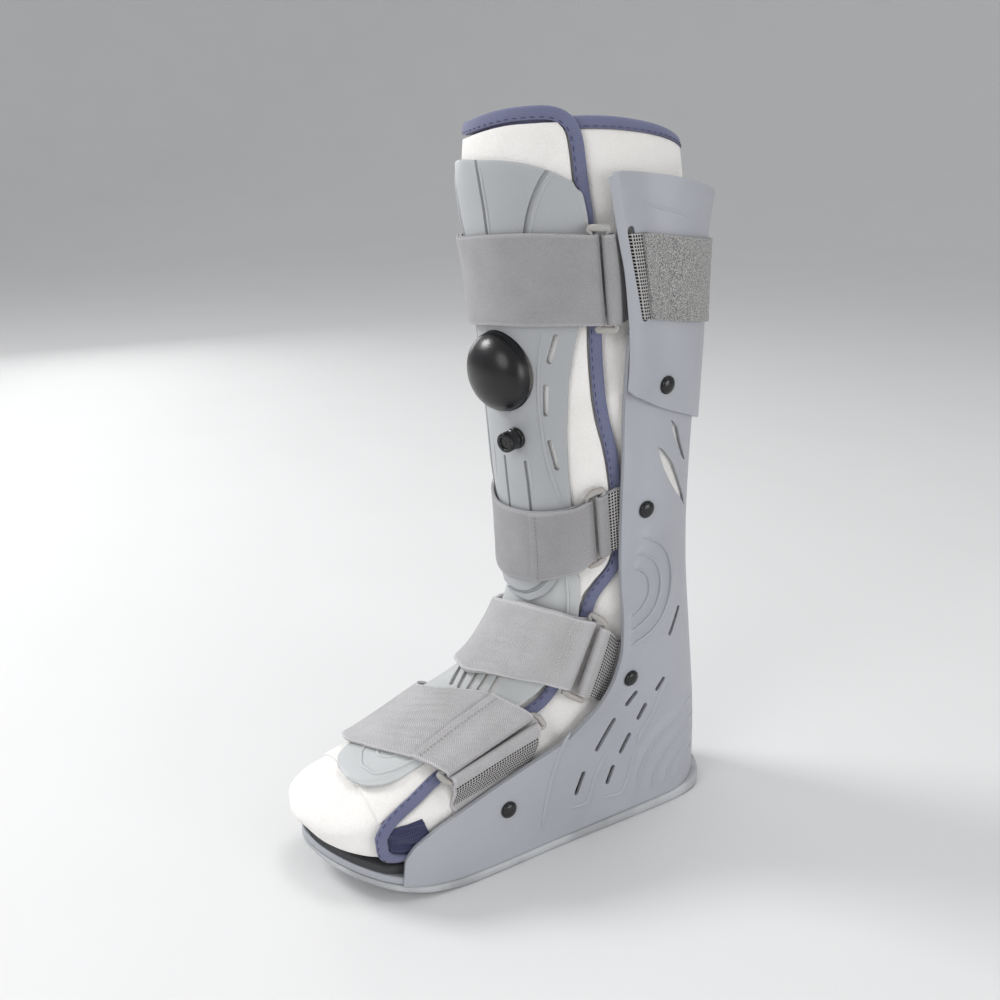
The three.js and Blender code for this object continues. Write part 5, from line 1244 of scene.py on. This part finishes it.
def makeClosure(name, facts):
    c = Closure(facts)
    shares = np.linspace(0, 1, 15)
    rows = c.strapRows(shares)
    size = flatSize(rows)
    cloth = twill("cloth_" + name, wide=size[0], **facts["cloth"])
    strap = thickened(gridPiece("webbing_" + name, rows), webbing["wall"], webbing["edge"], offset=0)
    finished(cleaned(strap), cloth, "webbing", "strap_" + name, angle=50)
    rows = c.anchorRows(shares)
    anchorSize = flatSize(rows)
    anchor = thickened(gridPiece("anchor_tape_" + name, rows), webbing["wall"], webbing["edge"], offset=0)
    finished(cleaned(anchor), cloth, "webbing", "anchor_" + name, angle=50)
    loop = c.ringLoop()
    along = unit(np.roll(loop, -1, 0) - np.roll(loop, 1, 0))
    across = unit(np.cross(along, c.out))
    long = np.abs((along * c.down[0]).sum(-1))
    fat = mix(webbing["end"], webbing["bar"], smooth(long, 0.3, 0.9))
    turn = np.linspace(0, 2 * np.pi, 12, endpoint=False)
    side = squared(np.cos(turn), webbing["ringSquare"]) * fat[:, None]
    up = squared(np.sin(turn), webbing["ringSquare"]) * np.minimum(fat, webbing["ringHigh"])[:, None]
    loops = loop[:, None] + across[:, None] * side[..., None] + c.out * up[..., None]
    finished(tubePiece("strap_ring_" + name, loops, closed=True), ringPlastic, "ring", "ring_" + name, angle=60)
    extras = []
    if "mesh" in facts:  # mesh tape beside the shell's edge
        first, last = facts["mesh"]
        angles, across = np.linspace(c.backEnd + first, c.backEnd + last, 18), np.linspace(0.015, 0.985, 30)
        g, s = np.meshgrid(angles, across, indexing="ij")
        weight = 1 - smooth(g, c.rearBar, facts["edge"])
        height = c.anchorHeight()(g)
        above = webbing["wall"] / 2 + mix(0.75, 0.42, smooth(g, facts["edge"] - 2, facts["edge"] + 3))
        points = c.lifted(c.place(g, s, height, weight), g, s, above, weight)
        tape = thickened(gridPiece("mesh_tape_" + name, points), webbing["meshWall"], webbing["meshEdge"])
        extras.append((finished(tape, meshTape, "webbing", angle=50), flatSize(points)))
    return c, strap, size, anchor, anchorSize, extras


made = {name: makeClosure(name, facts) for name, facts in closures.items()}
print("straps and rings made")


# sewn seams of the straps

seams = {
    "angles": {"calf_lower": [26.0], "forefoot": [35.0], "instep": [47.0, 48.6, 50.2], "calf_upper": [-31.0]},
    "above": 0.12, "stitch": (1.7, 0.9, 0.3),
}


def seamOn(c, angle):  # a line across the strap's outer layer
    angle = np.array([angle])
    points, outs = [], []
    for share in np.linspace(0.03, 0.97, 40):
        spot, near = c.outer(angle, share, webbing["wall"] / 2 + seams["above"])
        points.append(spot[0])
        outs.append(unit(mix(bootOut(c.sectionAt(angle, share), angle, 6.0)[0], c.out, near)))
    return np.array(points), np.array(outs)


def sewSeams():
    sewn = {name: [] for name in closures}
    for name, angles in seams["angles"].items():
        for k, angle in enumerate(angles):
            row = stitches("seam_%s_%d" % (name, k), *seamOn(made[name][0], angle), *seams["stitch"])
            sewn[name].append(finished(row, threadPale if name == "instep" else threadGrey, "webbing", angle=60))
    return sewn


sewn = sewSeams()
for name, (c, strap, size, anchor, anchorSize, extras) in made.items():
    "ring_" + name
    "ring_" + name
    for tape, tapeSize in extras:
        "anchor_" + name
print("seams sewn")


# loop tape round the cuff, with a mesh end at each slot

pile = {"rise": 1.7, "wall": 1.7, "edge": 0.6, "fuzz": 0.175, "fallTop": 10.0, "fallLow": 12.0,
        "start": 3.0, "meshTop": 5.4, "meshLow": 0.6, "tuck": 4.6, "meshWall": 0.5, "meshEdge": 0.15,
        "slotBack": 2.2, "slotRun": 2.0, "slotLift": (-1.7, 0.72)}


def alongSlot(z, low, high):  # a value that changes from the slot's lower end to its upper
    return mix(low, high, (z - cuff["slot"][3]) / (cuff["slot"][1] - cuff["slot"][3]))


def slotY(z):
    return alongSlot(z, cuff["slot"][2], cuff["slot"][0])


def tapeLine(z, start, count):  # half of the way round the cuff at one height, slot side first
    share = 1 - np.linspace(0, 1, count)
    first = slotY(z) + start
    z = z - alongSlot(z, pile["fallLow"], pile["fallTop"]) * np.cos(share * np.pi / 2)
    back = cuffAt["back"](z) + pile["rise"]
    y = back - (back - first) * (1 - np.cos(share * np.pi / 2))
    x = cuffHalf(np.minimum(y - pile["rise"] * (1 - share) ** 2, cuffAt["back"](z)), z)
    x = x + pile["rise"] * np.sin(np.minimum(share * 2.4, 1) * np.pi / 2)
    x[-1] = 0
    return np.stack([x, y, z], 1)


def makeLoopTape():
    heights = np.linspace(cuff["slot"][3] + 2, cuff["slot"][1] - 2, 26)
    starts = pile["start"] + np.linspace(pile["meshLow"], pile["meshTop"], 26)
    rows = []
    for z, start in zip(heights, starts):
        half = tapeLine(z, start, 46)
        rows.append(np.concatenate([half, (half[:-1] * (-1, 1, 1))[::-1]]))
    points = np.array(rows)
    out = unit(points - (0, 52, 0) - points * (0, 0, 1))  # away from the middle of the leg
    points = points + out * (pile["fuzz"] * ripple(points, 7, 2))[..., None]
    size = flatSize(np.swapaxes(points, 0, 1))
    tape = thickened(gridPiece("loop_tape", points), pile["wall"], pile["edge"], offset=0)
    finished(tape, pileTape, "loop", "calf_loop_tape", angle=60)
    for sign, label in ((1, "near"), (-1, "far")):
        rows = []
        for z, start in zip(heights, starts):
            first = slotY(z) - pile["slotBack"]
            ys, zs = np.linspace(first, slotY(z) + start + pile["tuck"], 18), np.full(18, z)
            lift = mix(*pile["slotLift"], smooth(ys, first, first + pile["slotRun"]))  # out of the slot, onto the cuff
            rows.append(sidePlace(cuffHalf, ys, zs, sign) + sideOut(cuffHalf, ys, zs, sign) * lift[:, None])
        strip = faceOut(gridPiece("mesh_end_" + label, np.array(rows)))
        thickened(strip, pile["meshWall"], pile["meshEdge"])
        finished(strip, meshTape, "loop", angle=60)
        flatSize(np.array(rows))


makeLoopTape()


# rivets

rivet = {
    "radius": 5.4, "high": 3.1, "side": 1.25,
    "places": {"cuff": (64, 297.5), "calf": (58.5, 221), "ankle": (56, 107.5), "foot": (-34, 42)},
}


def makeRivets():
    r, h, side = rivet["radius"], rivet["high"], rivet["side"]
    dome = [((r - 0.5) * np.cos(t), side + (h - side) * np.sin(t)) for t in np.linspace(0, np.pi / 2, 10)]
    cap = [(0, 0.3), (r, 0.3), (r, 1.0), (r - 0.25, side)] + dome
    cap[-1] = (0, h)
    for name, (y, z) in rivet["places"].items():
        half = cuffHalf if name == "cuff" else shellHalf
        for label, sign in (("near", 1), ("far", -1)):
            seat = sidePlace(half, y, z, sign), sideOut(half, y, z, sign)
            head = spunPiece("rivet_head_%s_%s" % (name, label), cap, *seat, 40)
            finished(head, blackPlastic, "black_plastic", "rivet_%s_%s" % (name, label))


makeRivets()
print("loop tape and rivets made")


# floor, light and camera

studio = {
    "camera": (579.13, -344.45, 441.0), "aim": (-12.8, -2.7, 217.3), "lens": 41.609,
    "lights": [  # name, place and size in metres, watts
        ("left", (-1.2, -1.05, 1.4), 0.7, 23.5), ("farLeft", (-1.8, 0.05, 0.55), 0.6, 2.5),
        ("right", (1.9, 0.75, 0.38), 1.3, 14), ("front", (0.8, -1.6, 1.05), 1.2, 10),
        ("over", (0.0, 0.3, 2.3), 0.9, 12.5),
    ],
    "lightAim": (0, 0, 0.22), "world": (0.93, 0.94, 0.96, 1), "worldLight": 0.5,
    "floor": [(0, 0), (2600, 0), (3400, 50), (4200, 330), (4700, 800), (4900, 1500)],  # radius, height
    "paper": (0.70, 0.73),
}


def makeStudio():
    floor = spunPiece("studio_floor", rounded(studio["floor"], 200, 3), np.zeros(3), np.array((0, 0, 1.0)), 64)
    pick(floor)
    bpy.ops.object.shade_smooth()
    look = Look("floor_paper", Roughness=0.7)
    look.feed("Base Color", look.tint(*[(grey, grey, grey) for grey in studio["paper"]], look.noise(6.0)))
    floor.data.materials.append(look.made)
    world = bpy.data.worlds.new("studio_world")
    bpy.context.scene.world = world
    world.use_nodes = True
    sky = world.node_tree.nodes["Background"]
    sky.inputs[0].default_value, sky.inputs[1].default_value = studio["world"], studio["worldLight"]
    for name, place, size, power in studio["lights"]:
        bpy.ops.object.light_add(type="AREA", location=place)
        light = bpy.context.object
        light.name = "light_" + name
        light.data.shape, light.data.size, light.data.energy = "DISK", size, power
        light.rotation_euler = (Vector(studio["lightAim"]) - Vector(place)).to_track_quat("-Z", "Y").to_euler()
    eye, aim = [(Vector(studio[key]) + Vector((0, middleY, 0))) * mm for key in ("camera", "aim")]
    bpy.ops.object.camera_add(location=eye)
    camera = bpy.context.object
    camera.data.sensor_width, camera.data.lens = 36, studio["lens"]
    camera.rotation_euler = (aim - eye).to_track_quat("-Z", "Y").to_euler()
    camera.data.clip_start, camera.data.clip_end = 0.01, 40
    bpy.context.scene.camera = camera
    bpy.context.scene.view_settings.view_transform = "Standard"


makeStudio()
print("scene ready")
